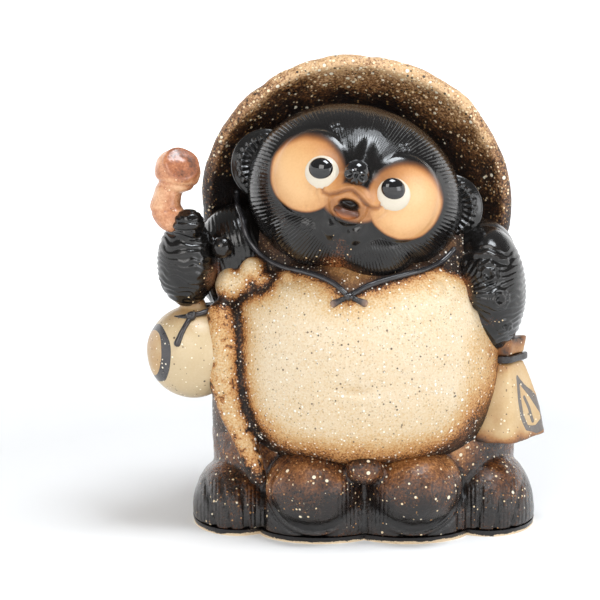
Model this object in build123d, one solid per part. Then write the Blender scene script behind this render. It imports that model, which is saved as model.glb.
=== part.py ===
from build123d import *
import os
from math import cos, radians, sin, sqrt

# A glazed stoneware tanuki statue, built as a potter builds it. Two pressed body shells stand on a clay slab.
# A domed belly, a hollow head and a straw hat are luted on, and then the small modelled pieces.
# Right and left are the figure's own. Lengths are in millimetres and angles in degrees.
# Until it is recentred at the end, x = 0 is the body's middle plane and y = 0 the body's middle.

# Clay
wall = 7.0
slab_thickness = 4.0
drain_radius = 12.0
neck_hole_radius = 20.0
seam_share = 0.06

# Body, a barrel with sloping shoulders: rows of height, width and depth
torso_height = 214.0
torso_half_width = 102.0
torso_half_depth = 66.0
torso_shares = (
    (0.00, 0.94, 0.95),
    (0.18, 0.985, 1.00),
    (0.42, 1.00, 1.00),
    (0.66, 0.97, 0.97),
    (0.83, 0.91, 0.86),
    (0.94, 0.76, 0.66),
    (1.00, 0.56, 0.45),
)

# Belly, a wide dome on the front: rows of height, width and reach
belly_width_share = 0.902
belly_reach_share = 1.136
belly_back_share = 0.303
belly_bottom_share = 0.201
belly_height_share = 0.664
belly_shares = (
    (0.00, 0.50, 0.48),
    (0.06, 0.72, 0.74),
    (0.15, 0.87, 0.89),
    (0.30, 0.965, 0.98),
    (0.46, 1.00, 1.00),
    (0.62, 0.985, 0.99),
    (0.76, 0.93, 0.91),
    (0.87, 0.82, 0.77),
    (0.95, 0.64, 0.62),
    (1.00, 0.46, 0.48),
)
navel_radius = 7.0
navel_depth = 2.2
navel_place_shares = (-0.05, 0.43)

# Head, an egg seen from the front with a drum behind it that runs into the hat
head_half_width = 71.0
head_half_height = 59.0
head_front = 58.0
head_back = 58.0
head_taper_share = 0.96
head_place_shares = (-0.061, -0.364, 1.025)
face_roll = 16.0
face_pitch = 10.0

# Straw hat, a shallow cone worn on the back of the head
hat_radius = 104.5
hat_lip_radius = 6.5
hat_depth = 60.0
hat_wall = 8.0
hat_crown_share = 0.10
hat_bulge_shares = (0.62, 0.56)
hat_tilt = 6.0
hat_place_shares = (-0.051, 0.227, 0.963)

# Face, with places as shares of the head's half width and half height
cheek_radii = (26.0, 28.0, 9.5)
cheek_rise = 2.6
cheek_place_shares = (0.448, 0.093)
muzzle_radii = (19.0, 15.5, 11.0)
muzzle_rise = 5.5
muzzle_place_shares = (-0.035, -0.048)
mouth_radii = (8.0, 5.6, 6.0)
mouth_place_shares = (-0.024, -0.148)
mouth_rise = 5.0
lip_radii = (8.4, 5.4, 6.0)
lip_rise = 4.0
lip_place_shares = (-0.020, -0.228)
nose_radii = (8.2, 8.4, 8.0)
nose_rise = 10.5
nose_place_shares = (-0.026, 0.183)
eye_radii = (11.6, 11.2, 7.0)
eye_rise = 5.4
eye_right_shares = (-0.330, 0.103)
eye_left_shares = (0.340, 0.083)
pupil_radii = (7.8, 7.2, 4.2)
pupil_rise = 6.6
pupil_right_shares = (-0.331, 0.126)
pupil_left_shares = (0.309, 0.129)
ear_radii = (22.5, 23.5, 20.0)
ear_sink = 8.0
ear_rim = 3.4
ear_hollow_depth = 9.0
ear_right_shares = (-0.869, 0.063)
ear_left_shares = (0.864, 0.143)

# Arms, shoulders and paws, with places as shares of the body's half width, half depth and height
shoulder_right_radii = (29.0, 30.0, 37.0)
shoulder_right_shares = (-0.815, -0.12, 0.815)
shoulder_left_radii = (27.0, 30.0, 27.0)
shoulder_left_shares = (0.725, -0.15, 0.825)
arm_right_radii = (19.5, 22.0, 29.0)
arm_right_shares = (-1.131, -0.53, 0.827)
arm_left_radii = (24.5, 34.0, 42.0)
arm_left_shares = (0.800, -0.42, 0.733)
paw_right_radii = (10.5, 11.5, 10.0)
paw_right_shares = (-1.113, -0.68, 0.949)
paw_left_radii = (16.0, 20.0, 14.0)
paw_left_shares = (0.780, -0.70, 0.735)
elbow_knob_radius = 7.2
elbow_knob_shares = (-0.900, -0.67, 0.879)

# Staff: a knob, a knotted neck, and a shaft from the forearm down to the foot
staff_knob_radius = 14.8
staff_knob_shares = (-1.182, -0.58, 1.108)
staff_neck_radii = (9.0, 8.2, 9.8, 7.4, 5.5)
staff_neck_shares = (
    (-1.205, -0.58, 1.080),
    (-1.243, -0.58, 1.040),
    (-1.250, -0.59, 0.990),
    (-1.190, -0.63, 0.958),
    (-1.120, -0.66, 0.945),
)
staff_shaft_radii = (9.6, 11.4, 11.4, 9.4, 7.6, 6.0)
staff_shaft_shares = (
    (-0.930, -0.56, 0.710),
    (-0.890, -0.74, 0.610),
    (-0.885, -0.78, 0.490),
    (-0.835, -0.80, 0.380),
    (-0.745, -0.88, 0.275),
    (-0.655, -0.99, 0.160),
)

# Sake flask at the right hip, tied round its shoulder
flask_radius = 30.5
flask_shares = (-1.098, -0.50, 0.549)
flask_neck_radius = 8.5
flask_neck_height = 9.0
cord_radius = 1.8
flask_cord_rise_share = 0.87
flask_cord_tilt = 12.0
knot_radius = 3.4
tail_radius_share = 1.5
flask_tail_right_share = -0.30
flask_tail_height_share = 0.28

# Account book at the left hip, a flared block tied at its neck
book_bottom = 59.0
book_height = 52.0
book_corner = 5.0
book_shares = (0.905, -0.52)
book_low_points = ((-22.0, 20.0), (-25.0, -10.0), (4.0, -20.0), (33.0, 19.0))
book_top_share = 0.46
book_middle_share = 0.80
book_tie_height = 5.0
book_tie_proud = 1.6
book_collar_height = 11.0
book_collar_share = 0.52

# Two-lobed charm on the right breast, and the chest nubs
charm_big_radii = (10.6, 14.0, 12.4)
charm_big_shares = (-0.850, -0.53, 0.757)
charm_small_radii = (7.9, 10.0, 7.6)
charm_small_shares = (-0.700, -0.62, 0.823)
nub_radius = 3.6
nub_right_shares = (-0.530, 0.905)
nub_left_shares = (0.503, 0.857)

# Feet, money bag and tail
foot_right_radii = (32.0, 47.0, 36.0)
foot_right_shares = (-0.812, -0.23, 0.040)
foot_left_radii = (33.0, 44.0, 41.0)
foot_left_shares = (0.796, -0.30, 0.040)
skirt_radii = (42.0, 33.0, 40.0)
skirt_shares = (0.280, -0.72, 0.037)
lobe_radii = (31.5, 34.0, 26.5)
lobe_shares = (0.318, -0.88, 0.154)
bag_knob_radii = (13.0, 14.0, 10.5)
bag_knob_shares = (0.006, -1.12, 0.228)
tail_radii = (33.0, 34.0, 36.0)
tail_shares = (0.08, 0.93, 0.170)
tail_tip_radii = (21.0, 20.0, 26.0)
tail_tip_shares = (0.20, 1.02, 0.330)

# Chin strap, laid in the crease under the jaw: places as shares of the head's half width and half height
strap_radius = 2.1
strap_bend = 12.0
strap_sink_share = 0.35
strap_right_shares = (
    (-0.951, -0.560),
    (-0.846, -0.760),
    (-0.710, -0.893),
    (-0.554, -0.965),
    (-0.397, -0.982),
    (-0.234, -0.970),
    (-0.092, -0.972),
    (0.040, -1.000),
    (0.205, -1.092),
)
strap_left_shares = (
    (0.205, -1.092),
    (0.324, -0.945),
    (0.457, -0.828),
    (0.659, -0.683),
    (0.843, -0.544),
    (0.950, -0.410),
    (1.018, -0.252),
)
strap_knot_shares = (0.205, -1.092)
strap_knot_radius = 3.9
tail_right_shares = (0.070, -1.235)
tail_left_shares = (0.385, -1.120)

# Working values: how the surfaces' seams are turned, an overlap and a size beyond the whole figure
seam_turn = 90.0
face_lean = 24.0
muzzle_lean = 9.0
pupil_turn = 35.0
overrun = 1.0
reach = 400.0


def ellipsoid(radii, turn=seam_turn, lean=0.0):
    """A solid ellipsoid at the origin. Turn and lean keep its surface's seam and pole clear of other joints."""
    return scale(Rot(-lean, 0, 0) * Rot(0, 0, turn) * Sphere(1), by=radii)


def on_body(shares):
    """A point given as shares of the body's half width, half depth and height."""
    across, deep, up = shares
    return Vector(across * torso_half_width, deep * torso_half_depth, up * torso_height)


def placed(radii, shares):
    """An ellipsoid with its middle at a place on the body."""
    return Pos(*on_body(shares)) * ellipsoid(radii)


def stack(shares, height, half_width, half_depth, low, back):
    """A solid through level ellipses, one for each row of height, width and depth shares."""
    rings = [
        Pos(0, back, low + up * height) * Rot(0, 0, seam_turn) * Ellipse(deep * half_depth, wide * half_width)
        for up, wide, deep in shares
    ]
    return loft(rings)


def tube(points, radii):
    """A solid that swells and thins through round sections along a list of points."""
    rings = []
    for i, (point, radius) in enumerate(zip(points, radii)):
        before = points[max(i - 1, 0)]
        after = points[min(i + 1, len(points) - 1)]
        rings.append(Plane(point, z_dir=after - before) * Circle(radius))
    return loft(rings)


def boxes_meet(one, other):
    """Whether the boxes round two solids meet."""
    a, b = one.bounding_box(optimal=False), other.bounding_box(optimal=False)
    low = [max(p, q) for p, q in zip(a.min, b.min)]
    high = [min(p, q) for p, q in zip(a.max, b.max)]
    return all(p <= q for p, q in zip(low, high))


def seat(piece, *carriers):
    """The piece with everything that it would share with its carriers cut away."""
    left = piece
    for carrier in carriers:
        if boxes_meet(piece, carrier):
            left = left - carrier
    solids = sorted(left.solids(), key=lambda s: s.volume)
    return solids[-1]


# The face's own frame: x to the viewer's right, y up and z out of the face
head_middle = on_body(head_place_shares)
view_up = Vector(0, sin(radians(face_pitch)), cos(radians(face_pitch)))
face_out = Vector(0, -cos(radians(face_pitch)), sin(radians(face_pitch)))
face_right = Vector(1, 0, 0) * cos(radians(face_roll)) - view_up * sin(radians(face_roll))
face = Plane(head_middle, x_dir=face_right, z_dir=face_out)


def head_form(half_width, half_height, front, back):
    """Half an egg with a slightly tapered drum behind it, in the face's frame."""
    arc = EllipticalCenterArc((0, 0), half_width, front, start_angle=0, arc_size=90)
    tail_end = (half_width * head_taper_share, -back)
    edges = [arc, Line((half_width, 0), tail_end), Line(tail_end, (0, -back)), Line((0, -back), (0, front))]
    profile = Plane.XZ * make_face(edges)
    body = Rot(0, 0, seam_turn) * revolve(profile, Axis.Z)
    return face * scale(body, by=(1, half_height / half_width, 1))


def face_plane(shares, rise=0.0):
    """A plane on the head's front at a place given in shares, facing out along the surface's normal."""
    x, y = shares[0] * head_half_width, shares[1] * head_half_height
    depth = head_front * sqrt(max(0, 1 - shares[0] ** 2 - shares[1] ** 2))
    normal = Vector(x / head_half_width**2, y / head_half_height**2, depth / head_front**2).normalized()
    point = Vector(x, y, depth) + normal * rise
    out = face.from_local_coords(point + normal) - face.from_local_coords(point)
    right = face_right - out * face_right.dot(out)
    return Plane(face.from_local_coords(point), x_dir=right, z_dir=out)


def on_face(radii, shares, rise, lean=face_lean, turn=seam_turn):
    """An ellipsoid on the head's front whose top stands above the surface by the rise."""
    return face_plane(shares, rise - radii[2]) * ellipsoid(radii, turn, lean)


belly_half_width = belly_width_share * torso_half_width
belly_reach = belly_reach_share * torso_half_depth
belly_back = belly_back_share * torso_half_depth
belly_bottom = belly_bottom_share * torso_height
belly_height = belly_height_share * torso_height


def body_pieces():
    """The slab, the two body shells, the belly dome and the head, which share one hollow."""
    torso = stack(torso_shares, torso_height, torso_half_width, torso_half_depth, 0, 0)
    hollow_height = torso_height - slab_thickness - wall
    hollow = stack(
        torso_shares, hollow_height, torso_half_width - wall, torso_half_depth - wall, slab_thickness, 0
    )
    belly = stack(belly_shares, belly_height, belly_half_width, belly_reach, belly_bottom, -belly_back)
    belly_hollow = stack(
        belly_shares,
        belly_height - 2 * wall,
        belly_half_width - wall,
        belly_reach - wall,
        belly_bottom + wall,
        -belly_back,
    )
    head = head_form(head_half_width, head_half_height, head_front, head_back)
    head_hollow = head_form(
        head_half_width - wall, head_half_height - wall, head_front - wall, head_back - wall
    )
    neck_hole = Pos(head_middle.X, 0, torso_height) * Cylinder(neck_hole_radius, torso_half_depth)
    return torso, hollow, belly, belly_hollow, head, head_hollow, neck_hole


torso, hollow, belly, belly_hollow, head, head_hollow, neck_hole = body_pieces()

# Front feet, money bag and tail all stand on the slab with the body
foot_right = placed(foot_right_radii, foot_right_shares)
foot_left = placed(foot_left_radii, foot_left_shares)
skirt_right = placed(skirt_radii, (-skirt_shares[0], *skirt_shares[1:]))
skirt_left = placed(skirt_radii, skirt_shares)
lobe_right = placed(lobe_radii, (-lobe_shares[0], *lobe_shares[1:]))
lobe_left = placed(lobe_radii, lobe_shares)
tail = placed(tail_radii, tail_shares) + placed(tail_tip_radii, tail_tip_shares)
low_zone = Pos(0, 0, slab_thickness - reach / 2) * Box(reach, reach, reach)
below_ground = Pos(0, 0, -reach / 2) * Box(reach, reach, reach)
footprint = torso + foot_right + foot_left + skirt_right + skirt_left + tail
slab = (footprint & low_zone) - below_ground - Cylinder(drain_radius, reach)

parts = {}
parts["base_slab"] = seat(slab)

seam = seam_share * torso_half_depth
front_zone = Pos(0, seam - reach / 2, 0) * Box(reach, reach, 2 * reach)
body_shell = torso - hollow - belly_hollow - neck_hole - low_zone
parts["body_front_shell"] = seat(body_shell & front_zone)
parts["body_back_shell"] = seat(body_shell - front_zone)

navel_x, navel_up = navel_place_shares
navel_point = Vector(
    navel_x * belly_half_width,
    -belly_back - belly_reach - navel_radius + navel_depth,
    belly_bottom + navel_up * belly_height,
)
parts["belly_dome"] = seat(belly - belly_hollow, torso, head, Pos(*navel_point) * Sphere(navel_radius))
parts["head_shell"] = seat(head - head_hollow, torso)

# Hat
hat_out = Vector(0, cos(radians(hat_tilt)), sin(radians(hat_tilt)))
hat_plane = Plane(on_body(hat_place_shares), x_dir=hat_out.cross(Vector(1, 0, 0)), z_dir=hat_out)
lip_middle = hat_radius - hat_lip_radius
bulge_x, bulge_up = hat_bulge_shares[0] * hat_radius, hat_bulge_shares[1] * hat_depth
crown = hat_crown_share * hat_radius
hat_profile = Plane.XZ * make_face(
    [
        Bezier((0, hat_depth), (crown, hat_depth), (bulge_x, bulge_up), (lip_middle, hat_lip_radius)),
        ThreePointArc((lip_middle, hat_lip_radius), (hat_radius, 0), (lip_middle, -hat_lip_radius)),
        Bezier(
            (lip_middle, -hat_lip_radius),
            (bulge_x, bulge_up - hat_wall),
            (crown, hat_depth - hat_wall),
            (0, hat_depth - hat_wall),
        ),
        Line((0, hat_depth - hat_wall), (0, hat_depth)),
    ]
)
hat = hat_plane * revolve(hat_profile, Axis.Z)
parts["straw_hat"] = seat(hat, head, torso)

# Face
cheek_across, cheek_up = cheek_place_shares
cheek_right = on_face(cheek_radii, (-cheek_across, cheek_up), cheek_rise)
cheek_left = on_face(cheek_radii, cheek_place_shares, cheek_rise)
muzzle = on_face(muzzle_radii, muzzle_place_shares, muzzle_rise, muzzle_lean)
mouth = on_face(mouth_radii, mouth_place_shares, muzzle_rise + mouth_rise)
nose = on_face(nose_radii, nose_place_shares, nose_rise)
lip = on_face(lip_radii, lip_place_shares, muzzle_rise + lip_rise)
parts["right_cheek_pad"] = seat(cheek_right, head)
parts["left_cheek_pad"] = seat(cheek_left, head, cheek_right)
parts["muzzle"] = seat(muzzle, head, cheek_right, cheek_left, mouth)
parts["nose"] = seat(nose, head, muzzle, cheek_right, cheek_left)
parts["lower_lip"] = seat(lip, head, muzzle, mouth, cheek_right, cheek_left)


def eye_pieces(eye_shares, pupil_shares, cheek):
    """The white of one eye and the pupil that stands on it."""
    eye = on_face(eye_radii, eye_shares, eye_rise)
    pupil = on_face(pupil_radii, pupil_shares, pupil_rise, turn=pupil_turn)
    return seat(eye, head, cheek, muzzle, nose), seat(pupil, eye, head, cheek)


def ear_form(shares):
    """A round ear with a hollow in its front."""
    x, y = shares[0] * head_half_width, shares[1] * head_half_height
    hole_radii = (ear_radii[0] - ear_rim, ear_radii[1] - ear_rim, ear_hollow_depth)
    turn = 0 if x > 0 else 2 * seam_turn
    ear = Pos(x, y, -ear_sink) * ellipsoid(ear_radii, turn)
    ear_hole = Pos(x, y, ear_radii[2] - ear_sink) * ellipsoid(hole_radii, turn)
    return face * (ear - ear_hole)


parts["right_eyeball"], parts["right_pupil"] = eye_pieces(eye_right_shares, pupil_right_shares, cheek_right)
parts["left_eyeball"], parts["left_pupil"] = eye_pieces(eye_left_shares, pupil_left_shares, cheek_left)
ear_right = ear_form(ear_right_shares)
ear_left = ear_form(ear_left_shares)
parts["right_ear"] = seat(ear_right, head, hat, torso)
parts["left_ear"] = seat(ear_left, head, hat, torso)

# Shoulders, arms and paws
trunk = [torso, belly, head, hat]
shoulder_right = placed(shoulder_right_radii, shoulder_right_shares)
shoulder_left = placed(shoulder_left_radii, shoulder_left_shares)
arm_right = placed(arm_right_radii, arm_right_shares)
arm_left = placed(arm_left_radii, arm_left_shares)
paw_right = placed(paw_right_radii, paw_right_shares)
paw_left = placed(paw_left_radii, paw_left_shares)
elbow_knob = Pos(*on_body(elbow_knob_shares)) * Sphere(elbow_knob_radius)
parts["right_shoulder"] = seat(shoulder_right, *trunk, ear_right)
parts["left_shoulder"] = seat(shoulder_left, *trunk, ear_left)
parts["right_arm"] = seat(arm_right, *trunk, shoulder_right)
parts["left_arm"] = seat(arm_left, *trunk, shoulder_left)
parts["right_paw"] = seat(paw_right, arm_right, shoulder_right, hat)
parts["left_paw"] = seat(paw_left, belly, torso, arm_left, shoulder_left)
parts["right_elbow_knob"] = seat(elbow_knob, arm_right, shoulder_right, torso, hat)

# Feet, money bag and tail above the slab
parts["right_foot"] = seat(foot_right, torso, belly, low_zone)
parts["left_foot"] = seat(foot_left, torso, belly, low_zone)
parts["right_bag_skirt"] = seat(skirt_right, torso, belly, foot_right, low_zone)
parts["left_bag_skirt"] = seat(skirt_left, torso, belly, foot_left, skirt_right, low_zone)
parts["right_bag_lobe"] = seat(lobe_right, torso, belly, foot_right, skirt_right, skirt_left, low_zone)
parts["left_bag_lobe"] = seat(
    lobe_left, torso, belly, foot_left, skirt_right, skirt_left, lobe_right, low_zone
)
bag_knob = placed(bag_knob_radii, bag_knob_shares)
parts["bag_knob"] = seat(bag_knob, torso, belly, skirt_right, skirt_left, lobe_right, lobe_left)
parts["tail"] = seat(tail, torso, low_zone)

# Staff
knob = Pos(*on_body(staff_knob_shares)) * Sphere(staff_knob_radius)
neck = tube([on_body(row) for row in staff_neck_shares], staff_neck_radii)
staff_head = knob + neck
shaft = tube([on_body(row) for row in staff_shaft_shares], staff_shaft_radii)
parts["staff_head"] = seat(staff_head, paw_right, arm_right, hat, shoulder_right)
parts["staff_shaft"] = seat(
    shaft, torso, belly, arm_right, shoulder_right, foot_right, skirt_right, lobe_right, low_zone
)

# Flask, its cord, knot and hanging end
flask_middle = on_body(flask_shares)
flask_body = Pos(*flask_middle) * Sphere(flask_radius)
neck_middle = flask_middle + Vector(0, 0, flask_radius + flask_neck_height / 2 - overrun)
flask = flask_body + Pos(*neck_middle) * Cylinder(flask_neck_radius, flask_neck_height)
flask_carriers = [torso, belly, shaft, arm_right, shoulder_right]
parts["sake_flask"] = seat(flask, *flask_carriers)
cord_up = flask_cord_rise_share * flask_radius
cord_ring_radius = sqrt(flask_radius**2 - cord_up**2) + cord_radius * strap_sink_share
cord_middle = flask_middle + Vector(0, 0, cord_up)
cord_loop = Pos(*cord_middle) * Rot(0, -flask_cord_tilt, 0) * Torus(cord_ring_radius, cord_radius)
knot_point = cord_middle + Vector(0, -cord_ring_radius - cord_radius, 0)
flask_knot = Pos(*knot_point) * Sphere(knot_radius)
end_x = flask_tail_right_share * flask_radius
end_up = flask_tail_height_share * flask_radius
end_out = sqrt(flask_radius**2 - end_x**2 - end_up**2)
end_point = flask_middle + Vector(end_x, -end_out, end_up)
halfway = (knot_point + end_point) * 0.5 + (knot_point + end_point - flask_middle * 2).normalized() * cord_radius
flask_tail = tube([knot_point, halfway, end_point], [cord_radius, cord_radius, cord_radius * tail_radius_share])
parts["flask_cord_loop"] = seat(cord_loop, flask, flask_knot, *flask_carriers)
parts["flask_cord_knot"] = seat(flask_knot, flask, *flask_carriers)
parts["flask_cord_end"] = seat(flask_tail, flask, flask_knot, *flask_carriers)


# Account book
def book_section(share, height):
    """A level section of the book: a quadrilateral with rounded corners, drawn in by a share."""
    x, y = book_shares[0] * torso_half_width, book_shares[1] * torso_half_depth
    corners = Polyline(*[(px * share, py * share) for px, py in book_low_points], close=True)
    outline = fillet(make_face(corners).vertices(), book_corner * share)
    return Pos(x, y, height) * outline


book_top = book_bottom + book_height
book = loft(
    [
        book_section(1, book_bottom),
        book_section(book_middle_share, book_bottom + book_height / 2),
        book_section(book_top_share, book_top),
    ]
)
tie_share = book_top_share * (1 + book_tie_proud / book_corner)
tie = loft([book_section(tie_share, book_top), book_section(tie_share, book_top + book_tie_height)])
collar = loft(
    [
        book_section(book_top_share, book_top + book_tie_height),
        book_section(book_collar_share, book_top + book_tie_height + book_collar_height),
    ]
)
book_carriers = [torso, belly, arm_left, shoulder_left, foot_left]
parts["account_book"] = seat(book, *book_carriers)
parts["account_book_tie"] = seat(tie, *book_carriers)
parts["account_book_collar"] = seat(collar, *book_carriers)

# Charm and chest nubs
charm_big = placed(charm_big_radii, charm_big_shares)
charm_small = placed(charm_small_radii, charm_small_shares)
parts["breast_charm"] = seat(
    charm_big + charm_small, torso, belly, shoulder_right, arm_right, head, elbow_knob, shaft, flask
)


def front_of(solids, spot, out):
    """The frontmost point of some solids in line with a spot, seen from a direction."""
    ray = Axis(spot + out * reach, out * -1)
    hits = [hit[0] for solid in solids for hit in solid.find_intersection_points(ray)]
    return max(hits, key=lambda p: p.dot(out))


for side, (across, up) in {"right": nub_right_shares, "left": nub_left_shares}.items():
    level = Vector(across * belly_half_width, 0, belly_bottom + up * belly_height)
    spot = front_of([belly, torso], level, Vector(0, -1, 0))
    parts[f"{side}_chest_nub"] = seat(Pos(*spot) * Sphere(nub_radius), belly, torso, head)


# Chin strap
def strap_point(shares, sink):
    """A point on the surface under the jaw, at a place given in shares in the face's frame."""
    x, y = shares[0] * head_half_width, shares[1] * head_half_height
    spot = face.from_local_coords(Vector(x, y, 0))
    hit = front_of([belly, torso, head, shoulder_right, shoulder_left, arm_left, hat], spot, face_out)
    return hit - face_out * sink


def strap(shares):
    """A round strap through points in the crease under the jaw."""
    points = [strap_point(row, strap_radius * strap_sink_share) for row in shares]
    path = FilletPolyline(*points, radius=strap_bend)
    start = Plane(path @ 0, z_dir=path % 0)
    return sweep(start * Circle(strap_radius), path=path)


knot_at = strap_point(strap_knot_shares, 0)
knot = Pos(*knot_at) * Sphere(strap_knot_radius)
strap_carriers = [belly, torso, head, shoulder_right, shoulder_left, arm_left]
parts["chin_strap_knot"] = seat(knot, *strap_carriers)
straps = [strap(strap_right_shares), strap(strap_left_shares)]
parts["chin_strap_right"] = seat(straps[0], *strap_carriers, knot)
parts["chin_strap_left"] = seat(straps[1], *strap_carriers, knot)


def strap_end(shares):
    """A flattened end that hangs from the knot."""
    end = strap_point(shares, 0)
    middle = (knot_at + end) * 0.5 + Vector(0, -strap_radius, 0)
    return tube([knot_at, middle, end], [strap_radius, strap_radius, strap_radius * tail_radius_share])


parts["chin_strap_right_end"] = seat(strap_end(tail_right_shares), *strap_carriers, knot, *straps)
parts["chin_strap_left_end"] = seat(strap_end(tail_left_shares), *strap_carriers, knot, *straps)

# Recentre on the box, with the slab's underside at z = 0
whole = Compound(list(parts.values())).bounding_box()
shift = Vector(-(whole.min.X + whole.max.X) / 2, -(whole.min.Y + whole.max.Y) / 2, -whole.min.Z)
os.makedirs("parts", exist_ok=True)
for name, piece in parts.items():
    export_step(Pos(*shift) * piece, f"parts/{name}.step")
print("box", whole.size, "shift", shift)
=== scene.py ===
import math
import bmesh
import bpy
import numpy as np
from mathutils import Matrix, Vector, noise
from mathutils.bvhtree import BVHTree
from mathutils.kdtree import KDTree


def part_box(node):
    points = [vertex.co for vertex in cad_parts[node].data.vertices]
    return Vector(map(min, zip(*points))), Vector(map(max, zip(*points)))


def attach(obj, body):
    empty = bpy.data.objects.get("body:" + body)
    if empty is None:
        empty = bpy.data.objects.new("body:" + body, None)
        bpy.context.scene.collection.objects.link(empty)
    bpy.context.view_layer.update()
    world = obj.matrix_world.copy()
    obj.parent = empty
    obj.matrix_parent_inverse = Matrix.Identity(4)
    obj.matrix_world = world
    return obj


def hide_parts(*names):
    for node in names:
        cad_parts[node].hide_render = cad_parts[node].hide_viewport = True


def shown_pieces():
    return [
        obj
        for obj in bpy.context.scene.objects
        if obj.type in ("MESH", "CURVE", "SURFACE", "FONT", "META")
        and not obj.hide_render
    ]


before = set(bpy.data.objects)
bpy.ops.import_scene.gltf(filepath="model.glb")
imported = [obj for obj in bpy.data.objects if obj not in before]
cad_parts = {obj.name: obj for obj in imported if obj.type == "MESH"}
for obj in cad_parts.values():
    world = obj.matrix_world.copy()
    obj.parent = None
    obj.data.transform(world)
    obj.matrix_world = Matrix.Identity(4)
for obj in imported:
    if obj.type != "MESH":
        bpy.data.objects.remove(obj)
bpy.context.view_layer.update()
scene = bpy.context.scene

# Shapes are made in millimetres round the body's middle line, and go to the model's own place at the end
bellyLow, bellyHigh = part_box("belly_dome")
toModel = (
    Matrix.Translation(((bellyLow.x + bellyHigh.x) / 2, bellyLow.y + 0.095, 0)) @ Matrix.Scale(0.001, 4)
)
body = {"halfWidth": 102.0, "halfDepth": 66.0, "height": 214.0, "cutLow": 4.2}


def onBody(across, deep, up):
    return Vector((across * body["halfWidth"], deep * body["halfDepth"], up * body["height"]))


# Rough forms

def ball(bm, middle, radii, turn=None, around=64, rings=40):
    made = bmesh.ops.create_uvsphere(bm, u_segments=around, v_segments=rings, radius=1)
    place = (
        Matrix.Translation(middle) @ (turn or Matrix.Identity(3)).to_4x4() @ Matrix.Diagonal((*radii, 1))
    )
    bmesh.ops.transform(bm, matrix=place, verts=made["verts"])


def bodyBalls(bm, rows):
    for radii, shares in rows:
        ball(bm, onBody(*shares), radii)


def cutLevel(bm, height, side):
    # takes off what is above (side 1) or below (side -1) the height, and closes the cut
    bmesh.ops.bisect_plane(
        bm, geom=bm.verts[:] + bm.edges[:] + bm.faces[:], plane_co=(0, 0, height), plane_no=(0, 0, side),
        clear_outer=True
    )
    bmesh.ops.holes_fill(bm, edges=[e for e in bm.edges if e.is_boundary])


def drawn(bm, line):
    # a line of edges through distances from the upright axis and heights
    spots = [bm.verts.new((r, 0, up)) for r, up in line]
    for pair in zip(spots, spots[1:]):
        bm.edges.new(pair)


def turnRound(bm, steps, join=0.01):
    # everything drawn so far goes once round the upright axis
    bmesh.ops.spin(
        bm, geom=bm.verts[:] + bm.edges[:], axis=(0, 0, 1), cent=(0, 0, 0), steps=steps, angle=2 * math.pi,
        use_merge=True
    )
    bmesh.ops.remove_doubles(bm, verts=bm.verts[:], dist=join)
    bmesh.ops.recalc_face_normals(bm, faces=bm.faces[:])


def smoothAlong(stops, values, t):
    # a smooth line through values given at stops
    stops, values = np.asarray(stops, float), np.asarray(values, float)
    slopes = np.gradient(values, stops, axis=0)
    i = np.clip(np.searchsorted(stops, t, side="right") - 1, 0, len(stops) - 2)
    gap = stops[i + 1] - stops[i]
    s = (t - stops[i]) / gap
    if values.ndim > 1:
        s, gap = s[..., None], gap[..., None]
    return (
        (2 * s**3 - 3 * s**2 + 1) * values[i]
        + (s**3 - 2 * s**2 + s) * gap * slopes[i]
        + (3 * s**2 - 2 * s**3) * values[i + 1]
        + (s**3 - s**2) * gap * slopes[i + 1]
    )


def stackedForm(bm, rows, height, halfWidth, halfDepth, low, back, around=160, rings=120):
    # a ball whose levels take the widths and depths of the rows
    made = bmesh.ops.create_uvsphere(bm, u_segments=around, v_segments=rings, radius=1)["verts"]
    rows = np.array(rows)
    co = np.array([v.co for v in made])
    t = np.clip((co[:, 2] + 1) / 2, 0, 1)
    shares = smoothAlong(rows[:, 0], rows[:, 1:], t) * (halfWidth, halfDepth)
    flat = np.hypot(co[:, 0], co[:, 1])
    co[:, :2] *= np.where(flat > 1e-5, 1 / np.maximum(flat, 1e-5), 0)[:, None] * shares
    for v, (x, y, z) in zip(made, co):
        v.co = (x, y - back, low + (z + 1) / 2 * height)


def bentForm(bm, points, radii, around=24, rings=60, flat=1.0, facing=(0, 1, 0)):
    # a round bar with rounded ends through the points, that swells and thins by the radii
    made = bmesh.ops.create_uvsphere(bm, u_segments=around, v_segments=rings, radius=1)["verts"]
    points = np.array([tuple(p) for p in points], float)
    steps = np.concatenate([[0], np.cumsum(np.linalg.norm(np.diff(points, axis=0), axis=1))])
    long = steps[-1]
    co = np.array([v.co for v in made])
    t = 1 - np.arccos(np.clip(co[:, 2], -1, 1)) / math.pi
    here = smoothAlong(steps, points, t * long)
    along = (
        smoothAlong(steps, points, np.minimum(t * long + 0.5, long))
        - smoothAlong(steps, points, np.maximum(t * long - 0.5, 0))
    )
    along /= np.linalg.norm(along, axis=1)[:, None]
    side = np.cross(along, facing)
    side /= np.linalg.norm(side, axis=1)[:, None]
    radius = smoothAlong(steps, radii, t * long)
    toEnd = np.minimum(np.minimum(t, 1 - t) * long / radius, 1)
    radius *= np.sqrt(1 - (1 - toEnd) ** 2)
    reach = np.hypot(co[:, 0], co[:, 1]).clip(1e-5)
    here += side * (co[:, 0] / reach * radius)[:, None]
    here += np.cross(side, along) * (co[:, 1] / reach * radius * flat)[:, None]
    for v, place in zip(made, here):
        v.co = place


# Meshes as arrays

def coordsOf(mesh):
    co = np.empty(len(mesh.vertices) * 3, np.float32)
    mesh.vertices.foreach_get("co", co)
    return co.reshape(-1, 3).astype(float)


def moveTo(mesh, co):
    mesh.vertices.foreach_set("co", co.astype(np.float32).ravel())
    mesh.update()


def normalsOf(mesh):
    out = np.empty(len(mesh.vertices) * 3, np.float32)
    mesh.vertex_normals.foreach_get("vector", out)
    return out.reshape(-1, 3).astype(float)


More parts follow.
